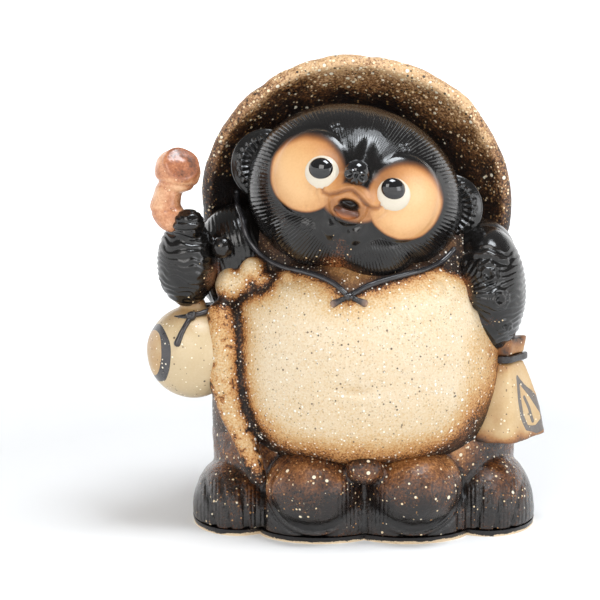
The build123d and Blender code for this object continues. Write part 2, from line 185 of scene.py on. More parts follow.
def edgesOf(mesh):
    out = np.empty(len(mesh.edges) * 2, np.int32)
    mesh.edges.foreach_get("vertices", out)
    return out.reshape(-1, 2)


def spread(mesh, values, rounds, share=0.5):
    # evens values out over neighbours
    edges = edgesOf(mesh)
    count = np.bincount(edges.ravel(), minlength=len(mesh.vertices)).clip(1)
    values = values.astype(float).copy()
    for _ in range(rounds):
        columns = values[:, None] if values.ndim == 1 else values
        total = np.stack(
            [
                np.bincount(edges[:, 0], columns[edges[:, 1], k], len(count))
                + np.bincount(edges[:, 1], columns[edges[:, 0], k], len(count))
                for k in range(columns.shape[1])
            ],
            1,
        )
        mean = total / count[:, None]
        mean = mean[:, 0] if values.ndim == 1 else mean
        values += share * (mean - values)
    return values


def relax(mesh, rounds, share=0.5):
    moveTo(mesh, spread(mesh, coordsOf(mesh), rounds, share))


def push(mesh, amount):
    moveTo(mesh, coordsOf(mesh) + normalsOf(mesh) * amount[:, None])


def creases(mesh, rounds=4):
    # how far each point lies in a hollow, in millimetres: hollows above zero, ridges below
    co = coordsOf(mesh)
    mean = spread(mesh, co, 6)
    return spread(mesh, ((mean - co) * normalsOf(mesh)).sum(1), rounds)


def cloud(co, size, seed=0.0):
    return np.array([noise.noise(Vector(p)) for p in (co / size + seed)])


def paint(mesh, name, values):
    layer = mesh.attributes.new(name, "FLOAT", "POINT")
    layer.data.foreach_set("value", np.asarray(values, np.float32))


def paintShade(mesh, base, hollows, uneven, size, most=1):
    # darker in the hollows, partly glaze pooling and partly painted shade, with soft clouds over it
    paint(
        mesh, "shade",
        np.clip(base - hollows * creases(mesh) + uneven * cloud(coordsOf(mesh), size), 0, most)
    )


def fused(bm, voxel):
    # the rough forms become one skin
    mesh = bpy.data.meshes.new("rough")
    bm.to_mesh(mesh)
    bm.free()
    rough = bpy.data.objects.new("rough", mesh)
    scene.collection.objects.link(rough)
    remesh = rough.modifiers.new("fuse", "REMESH")
    remesh.mode = "VOXEL"
    remesh.voxel_size = voxel
    skin = bpy.data.meshes.new_from_object(rough.evaluated_get(bpy.context.evaluated_depsgraph_get()))
    bpy.data.objects.remove(rough)
    bpy.data.meshes.remove(mesh)
    return skin


def meshFrom(bm):
    mesh = bpy.data.meshes.new("made")
    bm.to_mesh(mesh)
    bm.free()
    return mesh


def addPiece(mesh, name, slot, material, *stands):
    mesh.transform(toModel)
    mesh.name = name
    mesh.shade_smooth()
    mesh.materials.clear()
    mesh.materials.append(material)
    piece = bpy.data.objects.new(name, mesh)
    scene.collection.objects.link(piece)
    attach(piece, "root")
    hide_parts(*stands)
    print(name, len(mesh.polygons), "faces")


def addCord(bm, name, material, stands, uneven, size, voxel=None, rounds=0):
    # a cord or knot, a little uneven, with its forms run together where a cell size is given
    if voxel:
        mesh = fused(bm, voxel)
        relax(mesh, rounds)
    else:
        mesh = meshFrom(bm)
    push(mesh, uneven * cloud(coordsOf(mesh), size))
    addPiece(mesh, name, "cord_black", material, stands)


def rise(value, low, high):
    t = np.clip((value - low) / (high - low), 0, 1)
    return t * t * (3 - 2 * t)


def fade(value, rows):
    # straight steps through the pairs of rows
    return np.interp(value, *zip(*rows))


def hump(distance, width):
    return np.exp(-((distance / width) ** 2))


def spot(px, py, cx, cy, wide, high):
    # a soft oval spot, 1 in its middle
    return hump(np.hypot((px - cx) / wide, (py - cy) / high), 1)


def toLine(px, py, line):
    # distance in the plane to a line of points
    best = np.full(len(px), 1e9)
    for (ax, ay), (bx, by) in zip(line, line[1:]):
        dx, dy = bx - ax, by - ay
        t = np.clip(((px - ax) * dx + (py - ay) * dy) / (dx * dx + dy * dy), 0, 1)
        best = np.minimum(best, np.hypot(px - ax - t * dx, py - ay - t * dy))
    return best


# Glaze materials

def linear(rgb):
    return [c / 255 / 12.92 if c <= 10.3 else ((c / 255 + 0.055) / 1.055) ** 2.4 for c in rgb] + [1.0]


def fleck(scale, size, chance, colour, **more):
    # one kind of speck: more of them with the scale, wider with the size, and on a share of the places
    return {"scale": scale, "size": size, "chance": chance, "colour": colour, **more}


def glaze(name, look):
    material = bpy.data.materials.new(name)
    material.use_nodes = True
    tree = material.node_tree
    shader = tree.nodes["Principled BSDF"]

    def put(socket, value):
        if isinstance(value, bpy.types.NodeSocket):
            tree.links.new(value, socket)
        elif value is not None:
            socket.default_value = value

    def sums(kind, a, b=None, c=None, clamp=False):
        node = tree.nodes.new("ShaderNodeMath")
        node.operation = kind
        node.use_clamp = clamp
        for socket, value in zip(node.inputs, (a, b, c)):
            put(socket, value)
        return node.outputs[0]

    def stepped(value, low, high):
        node = tree.nodes.new("ShaderNodeMapRange")
        node.interpolation_type = "SMOOTHSTEP"
        put(node.inputs["Value"], value)
        node.inputs["From Min"].default_value = low
        node.inputs["From Max"].default_value = high
        return node.outputs["Result"]

    def blend(factor, a, b):
        node = tree.nodes.new("ShaderNodeMix")
        node.data_type = "RGBA"
        put(node.inputs[0], factor)
        put(node.inputs[6], a)
        put(node.inputs[7], b)
        return node.outputs[2]

    def attribute(label):
        node = tree.nodes.new("ShaderNodeAttribute")
        node.attribute_name = label
        return node.outputs["Fac"]

    def stops(value, rows):
        node = tree.nodes.new("ShaderNodeValToRGB")
        ramp = node.color_ramp
        while len(ramp.elements) < len(rows):
            ramp.elements.new(0.5)
        for element, (place, rgb) in zip(ramp.elements, rows):
            element.position = place
            element.color = linear(rgb)
        put(node.inputs[0], value)
        return node.outputs[0]

    coords = tree.nodes.new("ShaderNodeTexCoord").outputs["Object"]

    def grain(scale, detail=3.0, rough=0.6, vector=None):
        node = tree.nodes.new("ShaderNodeTexNoise")
        put(node.inputs["Vector"], vector or coords)
        node.inputs["Scale"].default_value = scale
        node.inputs["Detail"].default_value = detail
        node.inputs["Roughness"].default_value = rough
        return node.outputs[0]

    def around(place):
        node = tree.nodes.new("ShaderNodeMapping")
        turn = place["turn"].transposed()
        node.inputs["Rotation"].default_value = turn.to_euler("XYZ")
        node.inputs["Location"].default_value = -(turn @ (toModel @ Vector(place["middle"])))
        put(node.inputs["Vector"], coords)
        split = tree.nodes.new("ShaderNodeSeparateXYZ")
        put(split.inputs[0], node.outputs[0])
        return split.outputs

    fine = grain(look.get("grainScale", 900))
    soft = grain(look.get("cloudScale", 60), 4)
    finePart = sums("SUBTRACT", fine, 0.5)
    softPart = sums("SUBTRACT", soft, 0.5)

    def mottled(label, fineAmount, softAmount):
        if isinstance(label, tuple):  # by height, from none at the first millimetre to full at the second
            split = tree.nodes.new("ShaderNodeSeparateXYZ")
            put(split.inputs[0], coords)
            start = stepped(split.outputs[2], label[0] / 1000, label[1] / 1000)
        else:
            start = attribute(label) if label else 0.5
        value = sums("MULTIPLY_ADD", finePart, fineAmount, start)
        return sums("MULTIPLY_ADD", softPart, softAmount, value)

    colour = stops(mottled(look.get("by"), look.get("grain", 0.2), look.get("cloud", 0.2)), look["ramp"])
    rough = look.get("rough", 0.25)
    for layer in look.get("layers", []):
        value = mottled(layer["by"], layer.get("grain", 0.1), layer.get("cloud", 0.1))
        factor = stepped(value, *layer.get("edge", (0.3, 0.6)))
        colour = blend(factor, colour, stops(value, layer["ramp"]))
        if "rough" in layer:
            rough = sums("MULTIPLY_ADD", factor, layer["rough"] - look.get("rough", 0.25), rough)
    raised = sums("MULTIPLY", fine, look.get("fineBump", 0.15))
    raised = sums("MULTIPLY_ADD", soft, look.get("softBump", 0.3), raised)
    for speck in look.get("specks", []):
        cells = tree.nodes.new("ShaderNodeTexVoronoi")
        put(cells.inputs["Vector"], coords)
        cells.inputs["Scale"].default_value = speck["scale"]
        split = tree.nodes.new("ShaderNodeSeparateColor")
        put(split.inputs[0], cells.outputs["Color"])
        size = sums("MULTIPLY_ADD", split.outputs[1], speck["size"] * 0.7, speck["size"] * 0.3)
        dot = sums("SUBTRACT", size, cells.outputs["Distance"])
        dot = stepped(dot, 0, 0.05)
        chance = sums("LESS_THAN", split.outputs[0], speck["chance"])
        if "by" in speck:
            chance = sums(
                "LESS_THAN", split.outputs[0], sums("MULTIPLY", attribute(speck["by"]), speck["chance"])
            )
        dot = sums("MULTIPLY", dot, chance)
        colour = blend(sums("MULTIPLY", dot, speck.get("strength", 1)), colour, linear(speck["colour"]))
        raised = sums("MULTIPLY_ADD", dot, speck.get("lift", 0.0), raised)
    for comb in look.get("combs", []):
        x, y = around(comb)[:2]
        if "count" in comb:
            wave = sums("MULTIPLY", sums("ARCTAN2", y, x), comb["count"])
        else:
            wave = sums("MULTIPLY", x, 2 * math.pi * 1000 / comb["period"])
        wobble = sums(
            "MULTIPLY", sums("SUBTRACT", grain(comb.get("wobbleScale", 60), 2), 0.5), comb.get("wobble", 4)
        )
        wave = sums("SINE", sums("ADD", wave, wobble))
        wave = sums("MULTIPLY_ADD", wave, 0.5, 0.5)
        wave = sums("POWER", wave, comb.get("sharp", 0.7))
        breaks = stepped(grain(comb.get("breakScale", 90), 3), *comb.get("breaks", (0.2, 0.6)))
        amount = sums("MULTIPLY", attribute(comb["by"]), sums("MULTIPLY", breaks, comb["height"]))
        raised = sums("MULTIPLY_ADD", wave, amount, raised)
        if "shade" in comb:
            darker = sums(
                "MULTIPLY", sums("SUBTRACT", 1, wave),
                sums("MULTIPLY", attribute(comb["by"]), comb["shade"])
            )
            colour = blend(darker, colour, linear(comb.get("groove", (14, 12, 11))))
    bump = tree.nodes.new("ShaderNodeBump")
    bump.inputs["Strength"].default_value = look.get("bumpStrength", 1.0)
    bump.inputs["Distance"].default_value = 0.001
    put(bump.inputs["Height"], raised)
    put(shader.inputs["Normal"], bump.outputs[0])
    put(shader.inputs["Base Color"], colour)
    if look.get("roughVary"):
        rough = sums("MULTIPLY_ADD", softPart, look["roughVary"], rough, clamp=True)
    put(shader.inputs["Roughness"], rough)
    shader.inputs["Specular IOR Level"].default_value = look.get("specular", 0.5)
    shader.inputs["Coat Weight"].default_value = look.get("coat", 0.0)
    shader.inputs["Coat Roughness"].default_value = look.get("coatRough", 0.1)
    return material


# The face's own directions: x to the viewer's right, y up, z out of the face
facePose = {
    "middle": onBody(-0.061, -0.364, 1.025), "roll": 16.0, "pitch": 10.0, "half": (71.0, 59.0, 58.0)
}
pitch, roll = math.radians(facePose["pitch"]), math.radians(facePose["roll"])
lookUp = Vector((0, math.sin(pitch), math.cos(pitch)))
faceOut = Vector((0, -math.cos(pitch), math.sin(pitch)))
faceRight = Vector((1, 0, 0)) * math.cos(roll) - lookUp * math.sin(roll)
faceUp = faceOut.cross(faceRight)
faceTurn = Matrix((faceRight, faceUp, faceOut)).transposed()


def fromFace(x, y, z):
    return facePose["middle"] + faceTurn @ Vector((x, y, z))


def inFace(co):
    return (co - np.array(facePose["middle"])) @ np.array(faceTurn)


def onFace(shares, lift=0.0):
    # a place on the head's front and the turn that faces out of it
    halfX, halfY, front = facePose["half"]
    x, y = shares[0] * halfX, shares[1] * halfY
    z = front * math.sqrt(max(0, 1 - shares[0] ** 2 - shares[1] ** 2))
    out = (faceTurn @ Vector((x / halfX**2, y / halfY**2, z / front**2))).normalized()
    right = (faceRight - out * faceRight.dot(out)).normalized()
    turn = Matrix((right, out.cross(right), out)).transposed()
    return fromFace(x, y, z) + out * lift, turn


def onePlace(shares):
    # a place in the face's own plane
    return shares[0] * facePose["half"][0], shares[1] * facePose["half"][1]


def faceBall(bm, radii, shares, lift, **more):
    middle, turn = onFace(shares, lift - radii[2])
    ball(bm, middle, radii, turn, **more)


blackRows = [(0.0, (9, 8, 7)), (0.5, (17, 15, 14)), (0.8, (34, 27, 22)), (1.0, (80, 50, 32))]

# Trunk: the body, the belly and the tail
trunk = {
    "rows": (
        (0.00, 0.94, 0.95), (0.18, 0.985, 1.00), (0.42, 1.00, 1.00), (0.66, 0.97, 0.97),
        (0.83, 0.91, 0.86), (0.94, 0.76, 0.66), (1.00, 0.56, 0.45),
    ),
    "bellyRows": (
        (0.00, 0.50, 0.48), (0.06, 0.72, 0.74), (0.15, 0.87, 0.89), (0.30, 0.965, 0.98), (0.46, 1.00, 1.00),
        (0.62, 0.985, 0.99), (0.76, 0.93, 0.91), (0.87, 0.82, 0.77), (0.95, 0.64, 0.62), (1.00, 0.46, 0.48),
    ),
    "belly": {"halfWidth": 92.0, "reach": 75.0, "back": 20.0, "low": 43.0, "height": 142.0},
    "voxel": 1.46,
    "navel": (-4.6, 104.0),
    "nubs": ((-48.8, 171.5), (46.3, 164.7)),
    "tail": (((33, 34, 36), (0.08, 0.93, 0.170)), ((21, 20, 26), (0.20, 1.02, 0.330))),
    "charm": (
        ((11.2, 14.0, 12.4), (-0.850, -0.53, 0.757)), ((9.6, 11.0, 9.4), (-0.705, -0.62, 0.806)),
        ((10.5, 11.0, 9.0), (-0.760, -0.60, 0.770)), ((8.5, 8.0, 6.5), (-0.620, -0.72, 0.772)),
    ),
    "folds": (
        ((-66, 168), (-58, 158), (-44, 150), (-28, 150), (-14, 158)),
        ((66, 166), (56, 152), (42, 146), (26, 148), (14, 156)),
    ),
    # shades of the cream parts by millimetres from their edges
    "bellyFade": ((-0.5, 0.02), (2.0, 0.13), (4.5, 0.26), (8.0, 0.40), (13, 0.55), (23, 0.72), (36, 0.88)),
    "stickFade": ((-1, 0.18), (1.5, 0.32), (4, 0.46), (8, 0.58)),
    "charmFade": ((0, 0.10), (2, 0.26), (5, 0.44), (10, 0.70)),
    "shaft": (
        (-0.930, -0.56, 0.710), (-0.890, -0.74, 0.610), (-0.885, -0.78, 0.490),
        (-0.835, -0.80, 0.380), (-0.745, -0.88, 0.275), (-0.655, -0.99, 0.160),
    ),
    "shaftRadii": (10.0, 11.8, 11.8, 9.8, 8.0, 6.5),
}
strapShares = (
    (-0.951, -0.560), (-0.846, -0.760), (-0.710, -0.893), (-0.554, -0.965), (-0.397, -0.982),
    (-0.234, -0.970),
    (-0.092, -0.972), (0.040, -1.000), (0.205, -1.092), (0.324, -0.945), (0.457, -0.828), (0.659, -0.683),
    (0.843, -0.544), (0.950, -0.410), (1.018, -0.252),
)
trunkLook = {
    "by": "shade",
    "grain": 0.95, "grainScale": 800, "cloud": 0.20, "cloudScale": 45,
    "ramp": [
        (0.0, (22, 15, 11)), (0.16, (56, 34, 21)), (0.27, (118, 70, 36)), (0.38, (184, 126, 70)),
        (0.52, (202, 160, 106)), (0.70, (214, 188, 148)), (1.0, (226, 210, 184)),
    ],
    "layers": [{
        "by": "side", "grain": 0.7, "cloud": 0.6, "edge": (0.30, 0.42),
        "ramp": [(0.30, (24, 18, 15)), (0.52, (58, 39, 27)), (0.74, (110, 74, 44)), (0.98, (176, 132, 82))],
        "rough": 0.3,
    }],
    "specks": [
        fleck(640, 0.44, 0.48, (170, 140, 106), strength=0.6),
        fleck(520, 0.40, 0.26, (255, 248, 234), lift=0.4),
        fleck(440, 0.34, 0.16, (92, 72, 56), strength=0.85),
        fleck(260, 0.22, 0.26, (64, 48, 38), strength=0.9),
        fleck(300, 0.34, 0.16, (255, 252, 242), lift=0.6),
    ],
    "rough": 0.40, "roughVary": 0.2, "fineBump": 0.6, "softBump": 0.5, "specular": 0.32,
}


def strapSpots(shares):
    # the chin strap's line in the face's own plane
    return [onePlace(place) for place in shares]


def makeTrunk():
    bm = bmesh.new()
    half = body["halfWidth"], body["halfDepth"]
    stackedForm(bm, trunk["rows"], body["height"], *half, 0, 0)
    belly = trunk["belly"]
    stackedForm(
        bm, trunk["bellyRows"], belly["height"], belly["halfWidth"], belly["reach"], belly["low"],
        belly["back"]
    )
    bodyBalls(bm, trunk["tail"])
    bodyBalls(bm, trunk["charm"])
    cutLevel(bm, body["cutLow"], -1)
    bentForm(bm, [onBody(*row) for row in trunk["shaft"]], trunk["shaftRadii"], around=48, rings=120)
    mesh = fused(bm, trunk["voxel"])
    co = coordsOf(mesh)
    # where the belly runs into the body
    rows = np.array(trunk["bellyRows"])
    t = np.clip((co[:, 2] - belly["low"]) / belly["height"], 0, 1)
    wide, deep = smoothAlong(rows[:, 0], rows[:, 1:], t).T
    reach = np.hypot(
        co[:, 0] / (wide * belly["halfWidth"]), (co[:, 1] + belly["back"]) / (deep * belly["reach"])
    )
    onBelly = (np.abs(reach - 1) < 0.02) & (co[:, 1] < -20) & (t > 0) & (t < 1)
    onBelly |= (reach < 1.0) & (co[:, 1] < -25) & (np.abs(t - 0.5) > 0.49)
    shaftLine = np.array([onBody(*row) for row in trunk["shaft"]])
    fromShaft = toLine(co[:, 0], co[:, 2], shaftLine[:, (0, 2)])
    shaftWide = np.interp(co[:, 2], shaftLine[::-1, 2], trunk["shaftRadii"][::-1])
    onStick = (fromShaft < shaftWide * 0.98) & (co[:, 1] < -18) & (reach > 1.03) & (co[:, 2] < 152)
    onCharm = np.zeros(len(co), bool)
    for radii, shares in trunk["charm"]:
        onCharm |= np.linalg.norm((co - np.array(onBody(*shares))) / radii, axis=1) < 1.06
    onCharm &= co[:, 1] < -20
    onBelly |= (reach < 1.07) & (co[:, 0] < -40) & (co[:, 1] < -38) & (co[:, 2] > 62) & (co[:, 2] < 160)
    onBelly &= ~onStick & ~onCharm
    face = inFace(co)
    strapX, strapY = np.array(strapSpots(strapShares)).T
    above = face[:, 1] > np.interp(face[:, 0], strapX, strapY)
    above &= (face[:, 0] > strapX[0]) & (face[:, 0] < strapX[-1])
    throat = above & (co[:, 1] < -10) & (co[:, 2] > 140)
    onBelly &= ~throat
    onStick &= ~onCharm & ~throat
    onCharm &= ~throat
    glazed = ~(onBelly | onStick | onCharm)
    # how far each point lies inside the edge of each cream part, below zero outside it
    edges = edgesOf(mesh)
    gaps = []
    for cream in (onBelly, onStick, onCharm):
        cream = spread(mesh, cream.astype(float), 2) > 0.5
        line = np.unique(edges[cream[edges[:, 0]] != cream[edges[:, 1]]].ravel())
        line = line[co[line, 1] < 0]
        tree = KDTree(len(line))
        for k, i in enumerate(line):
            tree.insert(co[i], k)
        tree.balance()
        gap = np.full(len(co), 60.0)
        near = np.flatnonzero(co[:, 1] < 12)
        gap[near] = [tree.find(p)[2] for p in co[near]]
        gaps.append(np.where(cream, gap, -gap))
    relax(mesh, 9)
    co = coordsOf(mesh)
    x, z = co[:, 0], co[:, 2]
    front = co[:, 1] < -30
    # the navel, a wide shallow dimple with a lip under it, and two soft breasts with nubs
    nx, nz = trunk["navel"]
    dent = -2.8 * hump(np.hypot((x - nx) / 9.5, (z - nz - 0.012 * (x - nx) ** 2) / 2.6), 1)
    dent += 1.0 * hump(np.hypot((x - nx) / 11, (z - nz + 5.5) / 3.0), 1)
    dent -= 1.0 * hump(np.hypot((x - nx) / 1.6, (z - nz - 6.0) / 5.0), 1)
    chest = 2.4 * (spot(x, z, -44, 160, 30, 20) + spot(x, z, 42, 158, 32, 20))
    for nub in trunk["nubs"]:
        r = np.hypot(x - nub[0], z - nub[1])
        chest += 2.2 * hump(r / 2.9, 1) - 0.7 * hump(r - 5.0, 1.6)
    fold = np.minimum(*[toLine(x, z, line) for line in trunk["folds"]])
    chest -= 0.5 * hump(fold, 4.0)
    ruff = 1.6 * throat * rise(-co[:, 1], 30, 50)
    lump = 0.7 * cloud(co, 26) + 0.25 * cloud(co, 9, 7.0)
    rough = 0.35 * cloud(co, 4.0, 1.0) * onStick
    amount = np.where(front, dent + chest * rise(-co[:, 1], 40, 60) - 0.5, 0)
    push(mesh, spread(mesh, amount + ruff, 2) + lump * 0.4 + rough)
    co = coordsOf(mesh)
    # cream in the middle and brown towards the edges, and darker in the creases, partly glaze pooling and
    # partly painted shade
    grainy = 1.8 * cloud(co, 5, 3.0) + 2.6 * cloud(co, 20, 9.0)
    bellyEdge, stickEdge, lumpEdge = gaps
    # the brown band is wider low down, partly as painted shade under the belly, and wider on the right side
    lowBand = 0.68 + 0.9 * rise(-z, -92, -56) + 2.4 * rise(x, 48, 76) * rise(-z, -150, -120)
    shade = fade(bellyEdge / lowBand + grainy, trunk["bellyFade"]) * onBelly
    shade += fade(stickEdge + grainy * 0.5, trunk["stickFade"]) * onStick
    # the shaft darker towards its lower end and its top, in blotches
    stickDarkening = (
        0.48 * rise(-z, -66, -34) + 0.26 * rise(cloud(co, 4, 11.0), 0.22, 0.5) + 0.16 * rise(z, 128, 146)
    )
    shade -= onStick * stickDarkening
    shade += fade(lumpEdge + grainy * 0.5, trunk["charmFade"]) * onCharm
    # painted shade: darker in the creases, partly glaze pooling, and along the folds under the breasts
    shade -= 0.25 * np.clip(creases(mesh), -0.1, 0.5) + 0.04 * hump(fold, 4.0) * onBelly
    # painted shade in the crease just outside each cream part
    creaseShade = np.maximum.reduce([hump(np.minimum(g, 0) / 5.0, 1) for g in gaps])
    # painted shade: the belly darker low down, away from the light above
    shade -= 0.13 * rise(-z, -112, -66) * onBelly
    paint(mesh, "shade", np.clip(shade + 0.04 * cloud(co, 30, 2.0), 0, 1))
    # the glazed body: painted shade beside the cream parts, and darker towards the bottom
    side = 0.60 - 0.30 * creaseShade + 0.12 * cloud(co, 16, 5.0) - 0.20 * rise(-z, -75, -30)
    side += 0.34 * rise(-x, 46, 58) * rise(-co[:, 1], 20, 34) * rise(z, 60, 80) * (1 - rise(z, 146, 162))
    side += throat * (0.28 - 0.36 * rise(np.abs(x + 8), 10, 24))
    side -= 0.28 * rise(z, 168, 190) * (glazed & ~throat) * rise(-co[:, 1], -10, 10)
    paint(mesh, "side", np.where(glazed, np.maximum(side, 0.42), 0.0))
    addPiece(
        mesh, "trunk", "oatmeal_belly", glaze("bellyOatmeal", trunkLook),
        "body_front_shell", "body_back_shell", "belly_dome", "tail",
        "right_chest_nub", "left_chest_nub", "breast_charm", "staff_shaft",
    )


makeTrunk()

# Feet and money bag
lowerForms = [
    ((32, 47, 36), (-0.812, -0.23, 0.040)), ((33, 44, 41), (0.796, -0.30, 0.040)),
    ((42, 33, 40), (-0.280, -0.72, 0.037)), ((42, 33, 40), (0.280, -0.72, 0.037)),
    ((31.5, 34, 26.5), (-0.318, -0.88, 0.154)), ((31.5, 34, 26.5), (0.318, -0.88, 0.154)),
    ((13, 14, 10.5), (0.006, -1.12, 0.228)),
]
lobes = {"middle": (32.4, 33.0), "radii": (31.0, 27.0), "sliceTop": 78, "sliceOut": 0.7}
# place across, lean
toes = ((-104, 0.30), (-92, 0.22), (-79, 0.12), (-66, 0.0), (62, 0.0), (76, -0.1), (90, -0.2), (103, -0.3))
lowerLook = {
    "by": "shade", "grain": 1.0, "grainScale": 600, "cloud": 0.6, "cloudScale": 50,
    "ramp": [
        (0.14, (18, 16, 16)), (0.38, (42, 30, 24)), (0.56, (78, 47, 28)),
        (0.78, (128, 80, 42)), (1.0, (182, 128, 76)),
    ],
    "specks": [
        fleck(520, 0.40, 0.40, (196, 146, 92), by="shade", strength=0.8, lift=0.2),
        fleck(400, 0.38, 0.26, (244, 220, 178), by="shade", lift=0.4),
        fleck(230, 0.34, 0.26, (252, 238, 208), by="shade", lift=0.6),
        fleck(360, 0.34, 0.07, (238, 224, 198), lift=0.4),
    ],
    "combs": [{
        "by": "hair", "turn": Matrix.Identity(3), "middle": (0, 0, 0), "period": 2.6, "wobble": 5,
        "wobbleScale": 35,
        "height": 0.45, "sharp": 0.6,
    }],
    "rough": 0.22, "roughVary": 0.25, "fineBump": 0.6, "softBump": 0.9, "coat": 0.1, "coatRough": 0.10,
}


def makeLower():
    bm = bmesh.new()
    bodyBalls(bm, lowerForms)
    # a slice of the body, so that feet and bag run into it softly
    stackedForm(
        bm, trunk["rows"], body["height"], body["halfWidth"] + lobes["sliceOut"],
        body["halfDepth"] + lobes["sliceOut"], 0, 0
    )
    cutLevel(bm, lobes["sliceTop"], 1)
    cutLevel(bm, body["cutLow"], -1)
    mesh = fused(bm, 1.1)
    relax(mesh, 9)
    co = coordsOf(mesh)
    x, y, z = co.T
    amount = -2.2 * rise(z, 52, 74) + 0.4 * cloud(co, 12) + 0.3 * cloud(co, 5, 4.0)
    front = rise(-y, 30, 50)
    # a raised rim round the outer lower side of each lobe, and hair ridges where they meet
    for side in (-1, 1):
        cx, cz = side * lobes["middle"][0], lobes["middle"][1]
        r = np.hypot((x - cx) / lobes["radii"][0], (z - cz) / lobes["radii"][1])
        around = np.degrees(np.arctan2(z - cz, (x - cx) * side))
        arc = rise(around, -135, -110) * (1 - rise(around, 35, 60))
        amount += (
            arc * front
            * (1.0 * hump(r - 0.985, 0.032) - 0.9 * hump(r - 1.055, 0.04) - 0.6 * hump(r - 0.92, 0.03))
        )
    # toes
    for cx, lean in toes:
        amount -= 1.3 * hump(x - cx - lean * (25 - z), 1.7) * rise(-y, 8, 26) * (1 - rise(z, 24, 38))
    push(mesh, amount)
    co = coordsOf(mesh)
    x, y, z = co.T
    deep = creases(mesh)
    # lighter higher up, and darker in the creases, partly glaze pooling and partly painted shade
    shade = 0.18 + 0.42 * rise(z, 14, 50) - 0.9 * deep + 0.30 * cloud(co, 22, 1.0)
    # painted shade low on each lobe, where it curves under
    shade -= 0.25 * hump(np.hypot((np.abs(x) - 32) / 20, (z - 14) / 9), 1)
    paint(mesh, "shade", np.clip(shade, 0, 1))
    foot = rise(np.abs(x), 60, 68) * rise(-y, 5, 20) * (1 - rise(z, 26, 36))
    inner = hump((np.abs(x) - 10) / 8, 1) * rise(-y, 60, 75)
    paint(mesh, "hair", np.clip(foot + inner * 0.8, 0, 1))
    addPiece(
        mesh, "feet_and_bag", "brown_slip", glaze("brownSlip", lowerLook),
        "right_foot", "left_foot", "right_bag_skirt", "left_bag_skirt",
        "right_bag_lobe", "left_bag_lobe", "bag_knob",
    )


makeLower()

# Head with cheek patches and muzzle
headPose = {
    "drumTaper": 0.96, "drumBack": 54.0, "cheek": (31.8, 5.5), "cheekRadii": (26.0, 28.0), "voxel": 0.93,
    "pads": (  # radii, place on the face, how far it stands out
        ((26.0, 28.0, 9.5), (-0.448, 0.093), 2.6), ((26.0, 28.0, 9.5), (0.448, 0.093), 2.6),
        ((19.0, 15.5, 11.0), (-0.035, -0.048), 5.5),
    ),
    "bumps": (  # height, place in the face's plane, half width and height
        (-2.0, 0, 27, 5.5, 14), (2.6, -9.0, -27.5, 5.0, 5.0), (2.6, 8.0, -26, 5.0, 5.0),
        (-2.6, 0.5, -26.5, 4.2, 5.0),
        (1.2, 1, -43, 8, 10),
    ),
    "tufts": ((0, 0), (2.6, 1.4), (-2.4, 1.8), (0.5, 3.6)),
    "patchSoftness": ((-20, 0.08), (5, 0.16), (24, 0.46)),  # by height on the patch
    "jaw": {"out": 20, "low": -30, "deep": 24, "radii": (27, 23, 26)},
    "muzzleLines": (
        ((-23.5, -2.0), (-24.0, -7.0), (-20.0, -12.5)), ((21.0, -3.0), (22.0, -7.5), (18.5, -12.5)),
    ),
}
tanRows = [
    (0.16, (22, 17, 14)), (0.32, (48, 31, 21)), (0.48, (100, 62, 36)), (0.62, (146, 94, 52)),
    (0.78, (184, 128, 78)), (0.90, (208, 157, 104)), (1.0, (222, 178, 126)),
]
headLook = {
    "by": "shade", "grain": 0.1, "grainScale": 700, "cloud": 0.25, "cloudScale": 40, "ramp": blackRows,
    "layers": [
        {"by": "chin", "grain": 0.9, "cloud": 0.8, "edge": (0.30, 0.75), "rough": 0.3,
         "ramp": [(0.3, (44, 28, 19)), (0.6, (98, 56, 30)), (0.85, (162, 98, 50)), (1.0, (206, 150, 96))]},
        {"by": "tan", "grain": 0.10, "cloud": 0.10, "edge": (0.16, 0.34), "ramp": tanRows, "rough": 0.33},
    ],
    "specks": [fleck(460, 0.34, 0.6, (240, 208, 160), by="chin", lift=0.3)],
    "combs": [{
        "by": "hair", "turn": faceTurn, "middle": tuple(facePose["middle"]), "count": 150, "wobble": 4.0,
        "wobbleScale": 50,
        "height": 0.40, "sharp": 1.2, "breaks": (0.22, 0.55),
    }],
    "rough": 0.15, "roughVary": 0.12, "fineBump": 0.05, "softBump": 0.45, "specular": 0.42, "coat": 0.2,
    "coatRough": 0.05,
}
upperLip = [
    (-20.5, -3.2), (-19.0, -6.2), (-15.0, -6.4), (-10.0, -4.2), (-5.0, -0.8), (-1.6, 0.2), (3.0, -2.2),
    (8.0, -5.6), (13.0, -7.4), (17.0, -6.2), (18.4, -3.0)
]
mouthArc = [
    (-11.5, -9.0), (-10.5, -13.5), (-5.5, -18.4), (0.5, -19.8), (5.5, -17.6), (8.6, -12.0), (8.8, -8.0)
]


